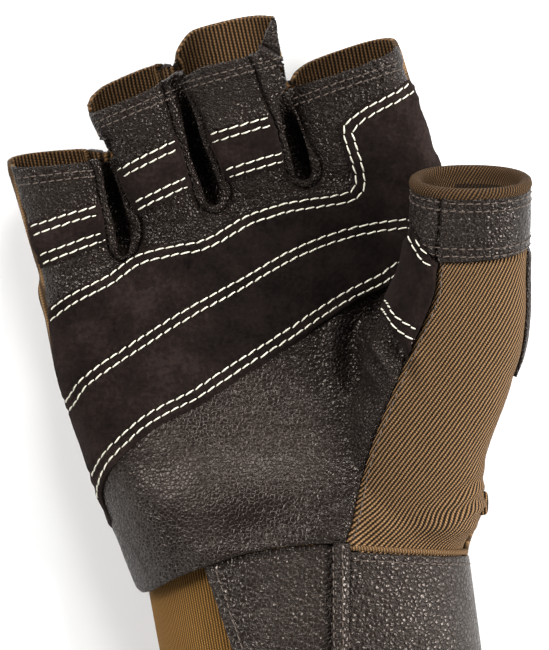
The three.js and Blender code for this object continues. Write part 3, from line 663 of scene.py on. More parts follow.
def stall_rings(h, stall):
    """Rings of a stall, from inside the palm to just past its rim."""
    past_rim = 3.5 + 2 * max(0, *[-dip for dip in stall.dip])
    rings = []
    for at in np.linspace(-0.32, 1 + past_rim / (stall.length * h.finger_length), 20):
        centre, across, up, half, thick = stall_station(h, stall, at)
        rings.append(ring_of(centre, across, up, half, thick, STALL_SQUARENESS, 72))
    return rings


def hand_skin(h):
    """Lofts the palm, stalls and thumb, blends them into one skin and returns its arrays."""
    palm = [palm_station(h, along) for along in np.linspace(-0.36, 1.04, 46)]
    parts = [loft([hand_ring(h, centre, across, half, top, 0, hollow, 120)
                   for centre, across, half, top, hollow in palm])]
    parts += [loft(stall_rings(h, stall)) for stall in STALLS]
    parts.append(loft([thumb_ring(h, at, 0, 80) for at in np.linspace(-0.14, 1.13, 46)]))
    for stall, mate in zip(STALLS, STALLS[1:]):
        parts += [loft(slot_web(h, stall)), loft(slot_floor(h, stall, mate))]
    objects = [new_object(f"form_{i}", *part) for i, part in enumerate(parts)]
    for o in objects:
        select_only(o)
        bpy.ops.object.mode_set(mode="EDIT")
        bpy.ops.mesh.select_all(action="SELECT")
        bpy.ops.mesh.normals_make_consistent(inside=False)
        bpy.ops.object.mode_set(mode="OBJECT")
    select_only(*objects)
    bpy.ops.object.join()
    form = bpy.context.view_layer.objects.active
    form.data.remesh_voxel_size = h.grain * 0.001
    form.data.use_remesh_preserve_volume = False
    bpy.ops.object.voxel_remesh()
    blend = form.modifiers.new("blend", "SMOOTH")
    blend.factor, blend.iterations = 0.5, 16
    bpy.ops.object.modifier_apply(modifier=blend.name)
    faces = form.modifiers.new("faces", "TRIANGULATE")
    bpy.ops.object.modifier_apply(modifier=faces.name)
    mesh = form.data
    points = np.zeros(len(mesh.vertices) * 3)
    normals = np.zeros(len(mesh.vertices) * 3)
    triangles = np.zeros(len(mesh.polygons) * 3, np.int64)
    mesh.vertices.foreach_get("co", points)
    mesh.vertices.foreach_set("co", (pulled(points.reshape(-1, 3) * 1000) * 0.001).ravel())
    mesh.update()
    mesh.vertices.foreach_get("co", points)
    mesh.vertex_normals.foreach_get("vector", normals)
    mesh.polygons.foreach_get("vertices", triangles)
    bpy.data.objects.remove(form)
    return points.reshape(-1, 3) * 1000, normals.reshape(-1, 3), triangles.reshape(-1, 3)


def snapped(skin, field, level, reach):
    """A skin's points with those near field = level moved onto it, and the field at them."""
    points, normals, _ = skin
    g = field(points) - level
    near = np.abs(g) < reach
    if not near.any():
        return points, g
    p, n = points[near], normals[near]
    slope = np.stack([field(p + e) - field(p - e) for e in np.eye(3) * 0.05], 1) / 0.1
    steep = np.maximum((slope ** 2).sum(1), 0.25)
    move = slope * (g[near] / steep)[:, None]
    move -= n * (move * n).sum(1)[:, None]
    far = np.linalg.norm(move, axis=1)
    move *= np.minimum(1, reach * 1.6 / np.maximum(far, 1e-9))[:, None]
    points = points.copy()
    points[near] = p - move
    after = field(points[near]) - level
    g[near] = np.where(np.abs(after) < 0.06, 0, after)
    return points, g


def cut(skin, field, level=0.0, reach=0.24):
    """Cuts the triangles of a skin along field = level, after near points moved onto that line."""
    points, g = snapped(skin, field, level, reach)
    normals, triangles = skin[1:]
    side = np.sign(g)
    a, b, c = triangles.T
    edges = np.stack([a, b, b, c, c, a], 1).reshape(-1, 3, 2)
    crossing = side[edges[..., 0]] * side[edges[..., 1]] < 0
    if not crossing.any():
        return points, normals, triangles
    pairs = np.sort(edges[crossing], axis=1)
    unique, inverse = np.unique(pairs, axis=0, return_inverse=True)
    start, end = unique.T
    t = (g[start] / (g[start] - g[end]))[:, None]
    added = points[start] * (1 - t) + points[end] * t
    bent = normals[start] * (1 - t) + normals[end] * t
    bent /= np.linalg.norm(bent, axis=1)[:, None]
    new_id = np.full(crossing.shape, -1, np.int64)
    new_id[crossing] = len(points) + inverse.ravel()
    made = [triangles[~crossing.any(1)]]
    count = crossing.sum(1)
    for k in range(3):
        corners = [triangles[:, (k + i) % 3] for i in range(3)]
        ab, bc, ca = [new_id[:, (k + i) % 3] for i in range(3)]
        two = (count == 2) & (ab >= 0) & (ca >= 0)
        a, b, c, p, q = [x[two] for x in (*corners, ab, ca)]
        made += [np.stack(face, 1) for face in ((a, p, q), (p, b, c), (p, c, q))]
        one = (count == 1) & (bc >= 0)
        a, b, c, p = [x[one] for x in (*corners, bc)]
        made += [np.stack(face, 1) for face in ((a, b, p), (a, p, c))]
    return np.vstack([points, added]), np.vstack([normals, bent]), np.vstack(made)


def patch_line(h, patch, out):
    """Middle, direction and half width of a line across a stall's patch."""
    stall = STALLS[patch.stall]
    centre, across, _, half, _ = stall_station(h, stall, out / (stall.length * h.finger_length))
    c, s = plan(patch.turn)
    x, y = across[:2]
    return centre[:2], np.array([x * c - y * s, x * s + y * c]), half


def fields(h):
    """Functions of points that are zero on the glove's seams and edges."""
    f = SimpleNamespace()
    basis = np.linalg.inv(np.column_stack([h.knuckle_across, h.finger_axis]))
    thumb_basis = np.linalg.inv(np.column_stack([h.thumb_axis, h.thumb_across, h.thumb_up]))

    def thumb_row(along, key):
        values = [getattr(row, key) for row in THUMB_ROWS]
        return np.interp(along, [row.along for row in THUMB_ROWS], values)

    def knuckle(p):
        """Millimetres across and past the knuckles."""
        return ((p[:, :2] - h.knuckles) @ basis.T).T

    def thumb_frame(p):
        """Share along the thumb, and millimetres across it and up from its middle line."""
        along, x, z = thumb_basis @ (p - h.thumb_base).T
        along = along / h.thumb_length
        return along, x - thumb_row(along, "side") * h.thumb_width, z

    slot_seams = [palm_line(h, s.seam, 1.0, closed=True) for s in SLOTS]
    slot_lines = [palm_line(h, [d[:2] for d in s.deep], 1.0) for s in SLOTS]
    limits = [knuckle(line) for line in slot_lines]

    def stall_of(p):
        """Number of the stall at each point, and millimetres across and past the knuckles."""
        across, out = knuckle(p)
        number = np.zeros(len(p), int)
        for k, (at, reach) in enumerate(limits):
            number[across > np.interp(out, reach, at)] = k + 1
        return number, across, out

    def lift(p):
        """How far the stalls' middle lines have risen, with the rise growing along each."""
        number, _, out = stall_of(p)
        value = np.zeros(len(p))
        for k, s in enumerate(STALLS):
            mine = (number == k) & (out > 0)
            at = np.clip(out[mine] / (s.length * h.finger_length), 0, 1.4)
            mean = np.radians(s.rise[0] + (s.rise[1] - s.rise[0]) * at / 2)
            value[mine] = out[mine] * np.tan(mean)
        return value

    def back(p):
        """Positive on the palm's side of the side seams.

        The seam climbs along the little finger's side of the palm and between the stalls.
        """
        _, across, out = stall_of(p)
        outer = 4.1 * smooth(-across / h.knuckle_half, 0.55, 0.8) * smooth(p[:, 1], -40, -26)
        inner = 3.0 * smooth(out, 4, 14) * (across > -0.9 * h.knuckle_half)
        return p[:, 2] - h.seam_height - lift(p) - np.maximum(outer, inner) - 0.2

    def gorge(k):
        """Distance to the dark line of a slot, less half its width."""
        deep = SLOTS[k].deep
        reach = knuckle(np.array([palm_point(h, d.across, d.along) for d in deep]))[1]
        halves = [d.half for d in deep]
        return lambda p: (line_distance(p[:, :2], slot_lines[k])
                          - np.interp(knuckle(p)[1], reach, halves))

    def slot(k):
        """Positive inside the seam round a slot, and on the back only close to its dark line."""
        return lambda p: np.minimum(outline_field(p[:, :2], slot_seams[k]),
                                    np.maximum(back(p), 2.6 - f.gorges[k](p)))

    def tips(p):
        """Positive inside the stalls' openings, whose rims dip at their corners.

        A longer stall's side is also held within its own width just past its neighbour's rim.
        """
        number, _, out = stall_of(p)
        plain = 2 * p - pulled(p)
        g = np.full(len(p), FAR_INSIDE)
        for k, s in enumerate(STALLS):
            mine = (number == k) & (out > 8)
            centre, direction, up, half, thick = stall_station(h, s, 1.0)
            normal = np.cross(up, direction)
            normal *= np.sign(normal[:2] @ h.finger_axis)
            side = (p[mine] - centre) @ direction / half
            left = smooth(-side, 0.45, 1.05) + 0.8 * smooth(-side, 0.83, 0.97)
            palm_side = 2 * smooth((p[mine] - centre) @ up / thick, -0.8, 0.8)
            right = s.dip[1] * smooth(side, 0.45, 0.95) * palm_side
            g[mine] = (centre - p[mine]) @ normal - s.dip[0] * left - right
            for mate, sign in ((k - 1, -1), (k + 1, 1)):
                if 0 <= mate < len(STALLS) and STALLS[mate].length < s.length:
                    rim, way, rise, _, _ = stall_station(h, STALLS[mate], 1.0)
                    axis = np.cross(rise, way)
                    past = (p[mine] - rim) @ (axis * np.sign(axis[:2] @ h.finger_axis))
                    level = (1.05 + 0.5 * (1 - smooth(past, -1.8, 0.1))
                             + 0.5 * smooth(past, 3.6, 5.0))
                    edge = (level - sign * ((plain[mine] - centre) @ direction) / half) * half
                    held = (past > -1.8) & (past < 5.0)
                    g[mine] = np.where(held, np.minimum(g[mine], edge), g[mine])
        return g

    def on_thumb(p):
        """Positive near the thumb."""
        along, x, z = thumb_frame(p)
        return thumb_row(along, "half") * h.thumb_width + 5.0 - np.hypot(x, z * 1.15)

    def thumb_tip(p):
        """Positive inside the thumb's opening."""
        along = thumb_frame(p)[0]
        on_end = (on_thumb(p) > 0) & (along > 0.7)
        return np.where(on_end, (1 - along) * h.thumb_length, FAR_INSIDE)

    def band(p):
        """Positive on the thumb's hem band, whose lower edge drops left of its own seam."""
        along, x, z = thumb_frame(p)
        seam = (h.thumb_length - h.band_length + 0.06 * x
                + 1.15 * np.maximum(BAND_SEAM - x, 0) * smooth(z, -9, -1))
        return np.where(on_thumb(p) > 0, along * h.thumb_length - seam, -FAR_INSIDE)

    def ribbed(p):
        """Positive on the ribbed panel: right of its seam, and above the fork on the thumb only."""
        side = outline_field(p[:, :2], ribbed_side)
        return np.minimum(side, np.maximum(fork - p[:, 1], np.minimum(on_thumb(p), 12)))

    def crotch(p):
        return np.minimum(outline_field(p[:, :2], crotch_outline), 8)

    def index_groove(p):
        return np.where(p[:, 2] > 20, line_distance(p[:, :2], index_seam), NO_GROOVE)

    def band_groove(p):
        _, x, z = thumb_frame(p)
        return np.where((band(p) > -1) & (z > -2), np.abs(x - BAND_SEAM), NO_GROOVE)

    index_seam = palm_line(h, INDEX_SEAM, 1.0)
    f.seam_line = palm_line(h, THUMB_SEAM, 2.0)
    first, last = f.seam_line[0], f.seam_line[-1]
    ribbed_side = np.vstack([f.seam_line, [[300, last[1] - 20]], [[300, first[1] + 80]]])
    fork = palm_point(h, 0, THUMB_FORK)[1]
    crotch_outline = palm_line(h, CROTCH, 1.2, closed=True)
    rows = [cuff_point(h, r.across, 0) - h.cuff_down * r.rise * h.cuff_length for r in WRIST_LINE]
    f.wrist_line = curve_through(rows, 2.0)
    tucked = 4.0 * smooth(f.wrist_line[:, 0], 20, 23)[:, None]
    wrist_side = np.vstack([f.wrist_line + h.cuff_down * tucked, [[200, 300]], [[-200, 300]]])
    pad_outline = np.vstack([beside(palm_line(h, PAD_TOP, 1.0), 0.9), palm_line(h, PAD_LOW)])
    f.gorges = [gorge(k) for k in range(len(SLOTS))]
    f.slots = [slot(k) for k in range(len(SLOTS))]
    f.wrist = lambda p: outline_field(p[:, :2], wrist_side)
    f.pad = lambda p: outline_field(p[:, :2], pad_outline)
    f.patches = []
    for patch in PATCHES:
        corners = []
        for out, sides in ((patch.low, (-1, 1)), (patch.high, (1, -1))):
            centre, across, half = patch_line(h, patch, out)
            corners += [centre + across * side * (half + 6) for side in sides]
        f.patches.append(np.array(corners))
    f.creases = [(palm_line(h, c.points, 1.0), c.depth, c.width) for c in CREASES]
    for field in (knuckle, thumb_frame, stall_of, back, tips, on_thumb, thumb_tip, band, ribbed,
                  crotch, index_groove, band_groove):
        setattr(f, field.__name__, field)
    return f


def relief(f, points, normals):
    """How far the leather and knit stand off the plain form before their edges."""
    up = smooth(normals[:, 2], 0.0, 0.5)
    _, across, out = f.stall_of(points)
    high = points[:, 2] > 10
    value = np.zeros(len(points))
    for line, depth, width in f.creases:
        d, share = line_distance(points[:, :2], line, with_share=True)
        end = np.sin(np.clip(share, 0.02, 0.98) * math.pi) ** 0.6
        valley = np.exp(-(d / width) ** 2)
        shoulder = np.exp(-((d - 1.9 * width) / (0.8 * width)) ** 2)
        value += up * high * end * depth * (0.35 * shoulder - valley)
    turned = np.column_stack([across, out, points[:, 2]])
    fingers = smooth(out, -2, 6) * up
    value += fingers * 0.28 * crumple(turned, (9.0, 2.6, 9.0), 3)
    value += 0.22 * crumple(points, 11.0, 5) + 0.10 * crumple(points, 4.5, 7)
    below = smooth(-out, 0, 9) * smooth(out, -16, -6) * up
    value += below * 0.25 * crumple(turned, (7.0, 2.4, 9.0), 4)
    value += 0.35 * up * smooth(-f.wrist(points), -9, -1) * crumple(points, (6, 3.5, 8), 9)
    value -= 0.7 * np.exp(-(f.index_groove(points) / 0.4) ** 2)
    return value


def edge_dip(distance, depth, width):
    """Falls to -depth at an edge, from zero at a width away from it."""
    return -depth * (1 - smooth(distance, 0, width)) ** 1.5


def seam_gap(p, *seams):
    """Distance to the nearest of the seams."""
    return np.min([np.abs(seam(p)) for seam in seams], axis=0)


def pick(skin, keep):
    """The faces of a skin that are kept, with only their own points."""
    points, normals, triangles = skin
    kept = triangles[keep]
    used, inverse = np.unique(kept, return_inverse=True)
    return points[used], normals[used], inverse.reshape(-1, 3)


def centres(skin):
    return skin[0][skin[2]].mean(1)


def add_map(piece, uv):
    """Gives a piece its own map from one pair of numbers a point."""
    layer = piece.data.uv_layers.new(name="Cloth")
    loops = np.zeros(len(piece.data.loops), np.int64)
    piece.data.loops.foreach_get("vertex_index", loops)
    layer.data.foreach_set("uv", np.asarray(uv, np.float32)[loops].ravel())


def finish_piece(piece, material, nodes=(), wall=None, inner=None, uv=None):
    """Smooth shading, map, wall and finish, and its place on the glove."""
    piece.data.shade_smooth()
    if uv is not None:
        add_map(piece, uv)
    piece.data.materials.append(material)
    if inner is not None:
        piece.data.materials.append(inner)
    if wall:
        thick = piece.modifiers.new("wall", "SOLIDIFY")
        thick.thickness, thick.offset = wall * 0.001, -1.0
        thick.use_even_offset = False
        if inner is not None:
            thick.material_offset = 1
    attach(piece, "root")
    if nodes:
        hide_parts(*nodes)
    return piece


def sewn_piece(name, skin, stand, material, nodes, wall, inner=None, uv=None):
    """A panel cut from the skin and stood off it by a height at each point."""
    points, normals, triangles = skin
    moved = points + normals * np.asarray(stand)[:, None]
    SHAPE["tops"][name] = (moved, triangles)
    return finish_piece(new_object(name, moved, triangles), material, nodes, wall, inner, uv)


# Finishes.


def node(tree, kind, place, **inputs):
    made = tree.nodes.new(kind)
    made.location = place
    for key, value in inputs.items():
        made.inputs[key].default_value = value
    return made


def texture(tree, kind, source, place, **inputs):
    """A noise or cell texture over the source's coordinates."""
    made = node(tree, f"ShaderNodeTex{kind}", place, **inputs)
    tree.links.new(source, made.inputs["Vector"])
    return made


def plain_material(name, colour, roughness):
    material = bpy.data.materials.new(name)
    material.use_nodes = True
    shader = material.node_tree.nodes["Principled BSDF"]
    shader.inputs["Base Color"].default_value = (*colour, 1)
    shader.inputs["Roughness"].default_value = roughness
    return material, material.node_tree, shader


def math_node(tree, operation, a, b=None):
    made = tree.nodes.new("ShaderNodeMath")
    made.operation = operation
    for i, x in enumerate((a, b)):
        if isinstance(x, (int, float)):
            made.inputs[i].default_value = x
        elif x is not None:
            tree.links.new(x, made.inputs[i])
    return made.outputs[0]


def ramp(tree, source, stops):
    """Colours or greys by the source's value; each stop is a place and a colour or grey."""
    made = tree.nodes.new("ShaderNodeValToRGB")
    while len(made.color_ramp.elements) < len(stops):
        made.color_ramp.elements.new(0.5)
    for element, (place, colour) in zip(made.color_ramp.elements, stops):
        element.position = place
        element.color = (*(colour if isinstance(colour, tuple) else (colour,) * 3), 1)
    tree.links.new(source, made.inputs[0])
    return made.outputs[0]


def bump(tree, height, strength, distance):
    made = node(tree, "ShaderNodeBump", (-200, -300), Strength=strength, Distance=distance)
    tree.links.new(height, made.inputs["Height"])
    return made.outputs[0]


def shade(colour, factor):
    return tuple(c * factor for c in colour)


def far_from(tree, spot, place, near, far):
    """A number that grows from near to far as a point leaves a place; each is (distance, value)."""
    gap = tree.nodes.new("ShaderNodeVectorMath")
    gap.operation = "DISTANCE"
    gap.inputs[1].default_value = place
    tree.links.new(spot, gap.inputs[0])
    made = tree.nodes.new("ShaderNodeMapRange")
    made.interpolation_type = "SMOOTHSTEP"
    names = ("From Min", "From Max", "To Min", "To Max")
    for name, value in zip(names, (near[0], far[0], near[1], far[1])):
        made.inputs[name].default_value = value
    tree.links.new(gap.outputs["Value"], made.inputs["Value"])
    return made.outputs["Result"]


def leather_material(name, colour, pebble, roughness, calm, wrinkle, gloss):
    """Grained leather: pebbles with creases between them that are painted darker as shade, and
    longer creases.

    pebble is a pebble's size in metres, calm the share of the grain that is left in the palm's
    middle, wrinkle the height of the longer creases and gloss the specular level.
    """
    material, tree, shader = plain_material(name, colour, roughness)
    links, calc = tree.links, partial(math_node, tree)
    spot = node(tree, "ShaderNodeTexCoord", (-1200, 0)).outputs["Object"]
    bend = texture(tree, "Noise", spot, (-1100, 300), Scale=900.0, Detail=1.0)
    shift = tree.nodes.new("ShaderNodeVectorMath")
    shift.operation = "MULTIPLY_ADD"
    shift.inputs[1].default_value = (pebble * 0.7,) * 3
    links.new(bend.outputs["Color"], shift.inputs[0])
    links.new(spot, shift.inputs[2])
    bent = shift.outputs[0]
    cells = texture(tree, "Voronoi", bent, (-800, 0), Scale=1.0 / pebble, Randomness=0.9)
    rims = texture(tree, "Voronoi", bent, (-800, 200), Scale=1.0 / pebble, Randomness=0.9)
    rims.feature = "DISTANCE_TO_EDGE"
    patches = texture(tree, "Noise", spot, (-800, -300), Scale=70.0, Detail=3.0).outputs["Fac"]
    fine = texture(tree, "Noise", spot, (-800, -500), Scale=2200.0, Detail=2.0).outputs["Fac"]
    dome = calc("SUBTRACT", 1.0, calc("POWER", cells.outputs["Distance"], 1.7))
    crease = ramp(tree, rims.outputs["Distance"], [(0.0, 0.0), (0.16, 1.0)])
    grain = calc("ADD", calc("MULTIPLY", dome, 0.7), calc("MULTIPLY", crease, 0.45))
    worn = ramp(tree, patches, [(0.34, 0.55), (0.62, 1.0)])
    amount = calc("MULTIPLY", worn, far_from(tree, spot, PALM_MIDDLE, (0.016, calm), (0.042, 1.0)))
    height = calc("ADD", calc("MULTIPLY", grain, amount), calc("MULTIPLY", fine, 0.12))
    stretch = node(tree, "ShaderNodeMapping", (-1000, -700),
                   Rotation=(0, 0, math.radians(-14)), Scale=(0.34, 1.0, 0.5))
    links.new(spot, stretch.inputs["Vector"])
    folds = texture(tree, "Noise", stretch.outputs[0], (-800, -700), Scale=420.0, Detail=2.0,
                    Roughness=0.55)
    creased = calc("ABSOLUTE", calc("SUBTRACT", folds.outputs["Fac"], 0.5))
    creased = calc("MULTIPLY", calc("MULTIPLY", creased, wrinkle), amount)
    height = calc("ADD", height, creased)
    links.new(bump(tree, height, 1.0, pebble * 0.62), shader.inputs["Normal"])
    deepness = calc("MULTIPLY", calc("SUBTRACT", 1.0, crease), amount)
    # Painted shade: the base colour darkens in the creases between the pebbles, over a tone that
    # differs at random.
    tone = ramp(tree, calc("SUBTRACT", patches, calc("MULTIPLY", deepness, 0.4)),
                [(0.1, shade(colour, 0.3)), (0.4, shade(colour, 0.9)), (0.75, shade(colour, 1.35))])
    links.new(tone, shader.inputs["Base Color"])
    dull = calc("ADD", calc("MULTIPLY", patches, 0.16), calc("MULTIPLY", deepness, 0.35))
    links.new(calc("ADD", dull, roughness - 0.08), shader.inputs["Roughness"])
    shader.inputs["Specular IOR Level"].default_value = gloss
    shader.inputs["Specular Tint"].default_value = (1.0, 0.86, 0.76, 1)
    return material


def suede_material(colour):
    """Napped suede: dull, soft at its edges, with a cloudy nap, and painted shade that darkens it
    towards the palm's hollow.
    """
    material, tree, shader = plain_material("suede", colour, 1.0)
    links, calc = tree.links, partial(math_node, tree)
    spot = node(tree, "ShaderNodeTexCoord", (-1000, 0)).outputs["Object"]
    nap = texture(tree, "Noise", spot, (-800, 0), Scale=900.0, Detail=6.0, Roughness=0.75)
    cloud = texture(tree, "Noise", spot, (-800, -300), Scale=110.0, Detail=4.0, Roughness=0.6)
    mixed = calc("ADD", calc("MULTIPLY", nap.outputs["Fac"], 0.6),
                 calc("MULTIPLY", cloud.outputs["Fac"], 0.5))
    # Painted shade: the suede's tone falls towards the palm's hollow.
    hollow_shade = far_from(tree, spot, PALM_HOLLOW, (0.012, 0.82), (0.045, 1.0))
    tone = ramp(tree, calc("MULTIPLY", mixed, hollow_shade),
                [(0.36, shade(colour, 0.3)), (0.54, colour), (0.74, shade(colour, 2.6))])
    links.new(tone, shader.inputs["Base Color"])
    links.new(bump(tree, nap.outputs["Fac"], 0.6, 0.0004), shader.inputs["Normal"])
    shader.inputs["Specular IOR Level"].default_value = 0.06
    shader.inputs["Sheen Weight"].default_value = 0.05
    shader.inputs["Sheen Roughness"].default_value = 0.5
    shader.inputs["Sheen Tint"].default_value = (0.45, 0.32, 0.28, 1)
    return material


def ribbed_material(name, colour, rib, bead, depth, contrast):
    """Ribbed knit on the piece's own map in millimetres: beaded ribs with dark gaps.

    rib and bead are a rib's width and a bead's length in millimetres, depth the relief in metres
    and contrast the shade of the gaps.
    """
    material, tree, shader = plain_material(name, colour, 0.85)
    links, calc = tree.links, partial(math_node, tree)
    cloth = node(tree, "ShaderNodeUVMap", (-1200, 0))
    cloth.uv_map = "Cloth"
    split = node(tree, "ShaderNodeSeparateXYZ", (-1000, 0))
    links.new(cloth.outputs[0], split.inputs[0])
    waver = texture(tree, "Noise", cloth.outputs[0], (-1000, 300), Scale=0.35, Detail=2.0)
    across = calc("ADD", split.outputs[0], calc("MULTIPLY", waver.outputs["Fac"], 0.3))

    def wave(place, length):
        sine = calc("SINE", calc("MULTIPLY", place, 2 * math.pi / length))
        return calc("ADD", calc("MULTIPLY", sine, 0.5), 0.5)

    ridge = wave(across, rib)
    row = calc("FLOOR", calc("DIVIDE", across, rib))
    knot = wave(calc("ADD", split.outputs[1], calc("MULTIPLY", row, bead * 0.5)), bead)
    height = calc("ADD", ridge, calc("MULTIPLY", knot, 0.32))
    links.new(bump(tree, height, 0.9, depth), shader.inputs["Normal"])
    shown = calc("ADD", calc("MULTIPLY", ridge, 0.72), calc("MULTIPLY", knot, 0.28))
    tone = ramp(tree, shown, [(0.30, shade(colour, contrast)), (0.60, shade(colour, 0.75)),
                              (0.92, shade(colour, 1.6))])
    links.new(tone, shader.inputs["Base Color"])
    shader.inputs["Specular IOR Level"].default_value = 0.12
    return material


def thread_material(name, colour):
    """Twisted thread: fine uneven shading along each stitch."""
    material, tree, shader = plain_material(name, colour, 0.6)
    spot = node(tree, "ShaderNodeTexCoord", (-800, 0)).outputs["Object"]
    noise = texture(tree, "Noise", spot, (-600, 0), Scale=1500.0, Detail=2.0)
    tone = ramp(tree, noise.outputs["Fac"], [(0.35, shade(colour, 0.7)), (0.6, colour)])
    tree.links.new(tone, shader.inputs["Base Color"])
    shader.inputs["Specular IOR Level"].default_value = 0.3
    return material


def finishes():
    """All materials, made once."""
    if "finishes" not in SHAPE:
        colours = bpy.context.scene.glove_colours
        leather, suede, ribbed, lining, elastic, white, brown = [
            tuple(getattr(colours, name)) for name in GloveColours.__annotations__]
        SHAPE["finishes"] = SimpleNamespace(
            leather=leather_material("nappa leather", shade(leather, 0.75), 0.00098, roughness=0.27,
                                     calm=0.22, wrinkle=2.0, gloss=0.33),
            wrap=leather_material("wrap leather", leather, 0.00118, roughness=0.31,
                                  calm=1.0, wrinkle=0.8, gloss=0.52),
            suede=suede_material(suede),
            ribbed=ribbed_material("ribbed knit", ribbed, 0.88, 0.6, 0.0005, 0.04),
            back=ribbed_material("back knit", shade(ribbed, 0.72), 1.1, 0.7, 0.0003, 0.35),
            lining=ribbed_material("lining knit", lining, 1.0, 0.75, 0.0004, 0.1),
            # The rolled knit is the lining darkened by a third, and the hollow knit is the lining
            # darkened far more: painted shade in the thumb's opening.
            rolled=ribbed_material("rolled knit", shade(lining, 0.66), ROLLED_RIB, 0.6, 0.0003,
                                   0.12),
            hollow=ribbed_material("hollow knit", shade(lining, 0.2), ROLLED_RIB, 0.6, 0.0003,
                                   0.3),
            elastic=ribbed_material("elastic", shade(elastic, 1.4), 0.8, 0.62, 0.0003, 0.3),
            binding=ribbed_material("binding tape", shade(ribbed, 0.8), 0.8, 0.5, 0.0002, 0.4),
            white=thread_material("white thread", white),
            brown=thread_material("brown thread", brown),
        )
    return SHAPE["finishes"]


# Operators, one for each piece or group of like pieces.


class GLOVE_OT_form(bpy.types.Operator):
    """Shapes the hand and cuts its skin along the seams"""

    bl_idname = "glove.form"
    bl_label = "Hand form"

    def execute(self, context):
        h = hand()
        f = fields(h)
        skin = hand_skin(h)
        for field in (f.back, f.tips, f.thumb_tip, f.wrist, f.ribbed, f.band, *f.slots):
            skin = cut(skin, field)
        c = centres(skin)
        skin = pick(skin, (f.tips(c) > 0) & (f.thumb_tip(c) > 0) & (f.wrist(c) > 0))
        # Finer faces beside the seams, the slots' dark lines and the pressed grooves.
        finer = [((f.back, f.ribbed, f.band, *f.slots), (0.6, -0.6), 0.1),
                 (f.gorges, (0.8, 0.0), 0.1),
                 ((f.index_groove, f.band_groove), (0.05, 0.3, 0.9), 0.02)]
        for lines, levels, reach in finer:
            for field in lines:
                for level in levels:
                    skin = cut(skin, field, level, reach)
        c = centres(skin)
        kind = np.full(len(c), "palm", dtype=object)
        kind[f.ribbed(c) > 0] = "ribbed"
        kind[f.back(c) < 0] = "back"
        out = f.knuckle(c)[1]
        for k, slot in enumerate(f.slots):
            kind[(slot(c) > 0) & (out > -12)] = f"slot{k}"
        kind[f.band(c) > 0] = "band"
        SHAPE.update(hand=h, fields=f, skin=skin, kind=kind, relief=relief(f, skin[0], skin[1]))
        return {"FINISHED"}


def shapes():
    """The glove's sizes, its fields and the finishes."""
    return SHAPE["hand"], SHAPE["fields"], finishes()


def panel(kind):
    """The faces of one kind, with the relief at their points."""
    skin, mask = SHAPE["skin"], SHAPE["kind"] == kind
    used = np.unique(skin[2][mask])
    return pick(skin, mask), SHAPE["relief"][used]


class GLOVE_OT_palm(bpy.types.Operator):
    """Leather palm with the fronts of the stalls"""

    bl_idname = "glove.palm"
    bl_label = "Palm leather"

    def execute(self, context):
        h, f, m = shapes()
        skin, low = panel("palm")
        p = skin[0]
        hem = np.minimum(f.tips(p), f.wrist(p))
        stand = low + edge_dip(seam_gap(p, f.back, f.ribbed, f.band, *f.slots), 0.55, 1.3)
        stand += 0.25 * (1 - smooth(hem, 4.4, 5.2)) + edge_dip(hem, 0.3, 0.7)
        sewn_piece("leather_palm", skin, stand, m.leather, ["palm_leather"],
                   h.leather_thickness, m.lining, np.column_stack(f.knuckle(p)))
        return {"FINISHED"}


class GLOVE_OT_back(bpy.types.Operator):
    """Knitted back of the hand"""

    bl_idname = "glove.back"
    bl_label = "Back knit"

    def execute(self, context):
        _, f, m = shapes()
        skin, low = panel("back")
        p = skin[0]
        stand = 0.3 * low + edge_dip(seam_gap(p, f.back, f.band, *f.slots), 0.5, 1.3)
        stand = np.where(p[:, 2] < 0.6, np.maximum(stand, 0), stand)
        piece = sewn_piece("knit_back", skin, stand, m.back, ["back_fabric"],
                           KNIT_WALL, m.lining, np.column_stack(f.knuckle(p)))
        for vertex in piece.data.vertices:
            if vertex.co.z < 0:
                vertex.co.z = 0
        return {"FINISHED"}


class GLOVE_OT_slots(bpy.types.Operator):
    """Rolled leather lips round the slots between the stalls"""

    bl_idname = "glove.slots"
    bl_label = "Slot lips"

    def execute(self, context):
        h, f, m = shapes()
        for k, name in enumerate(s.name for s in SLOTS):
            skin, low = panel(f"slot{k}")
            p, normals, _ = skin
            g = f.slots[k](p)
            top = smooth(normals[:, 2], -0.1, 0.5) * smooth(f.back(p), 0, 4)
            roll = np.sin(np.clip(g / 2.8, 0, 1) * math.pi) ** 0.8
            stand = 0.4 * low + edge_dip(g, 0.6, 0.9) + 0.7 * roll * top
            stand -= (4.6 * (1 - smooth(f.gorges[k](p), -1.2, 0.8))
                      * smooth(normals[:, 2], 0.1, 0.6) * smooth(g, 0.3, 1.4))
            sewn_piece(f"lip_{name}", skin, stand, m.leather, [f"fourchette_{name}"],
                       h.leather_thickness, m.lining, np.column_stack(f.knuckle(p)))
        return {"FINISHED"}


def near_point(p, x, y, wide, tall):
    """1 at a plan point, fading out over a width and a height."""
    return np.exp(-(((p[:, 0] - x) / wide) ** 2 + ((p[:, 1] - y) / tall) ** 2))


def thumb_cloth_map(h, f, p):
    """Map of the thumb's knit in millimetres: ribs lean along the seam and gather at the tab."""
    _, x, z = f.thumb_frame(p)
    angle = np.arctan2(x, z)
    angle = np.where(angle < -2.4, angle + 2 * math.pi, angle)
    lean = math.radians(RIB_LEAN)
    wide = p[:, 0] + angle * 17.0 - x
    ribs = (wide * math.cos(lean) - p[:, 1] * math.sin(lean)
            + 0.45 * (p[:, 1] + 24.0) * near_point(p, 42.0, -24.0, 8.5, 4.5)
            + 0.32 * (p[:, 1] - h.tab[1]) * near_point(p, *h.tab, 9.0, 5.0))
    return np.column_stack([ribs, wide * math.sin(lean) + p[:, 1] * math.cos(lean)])


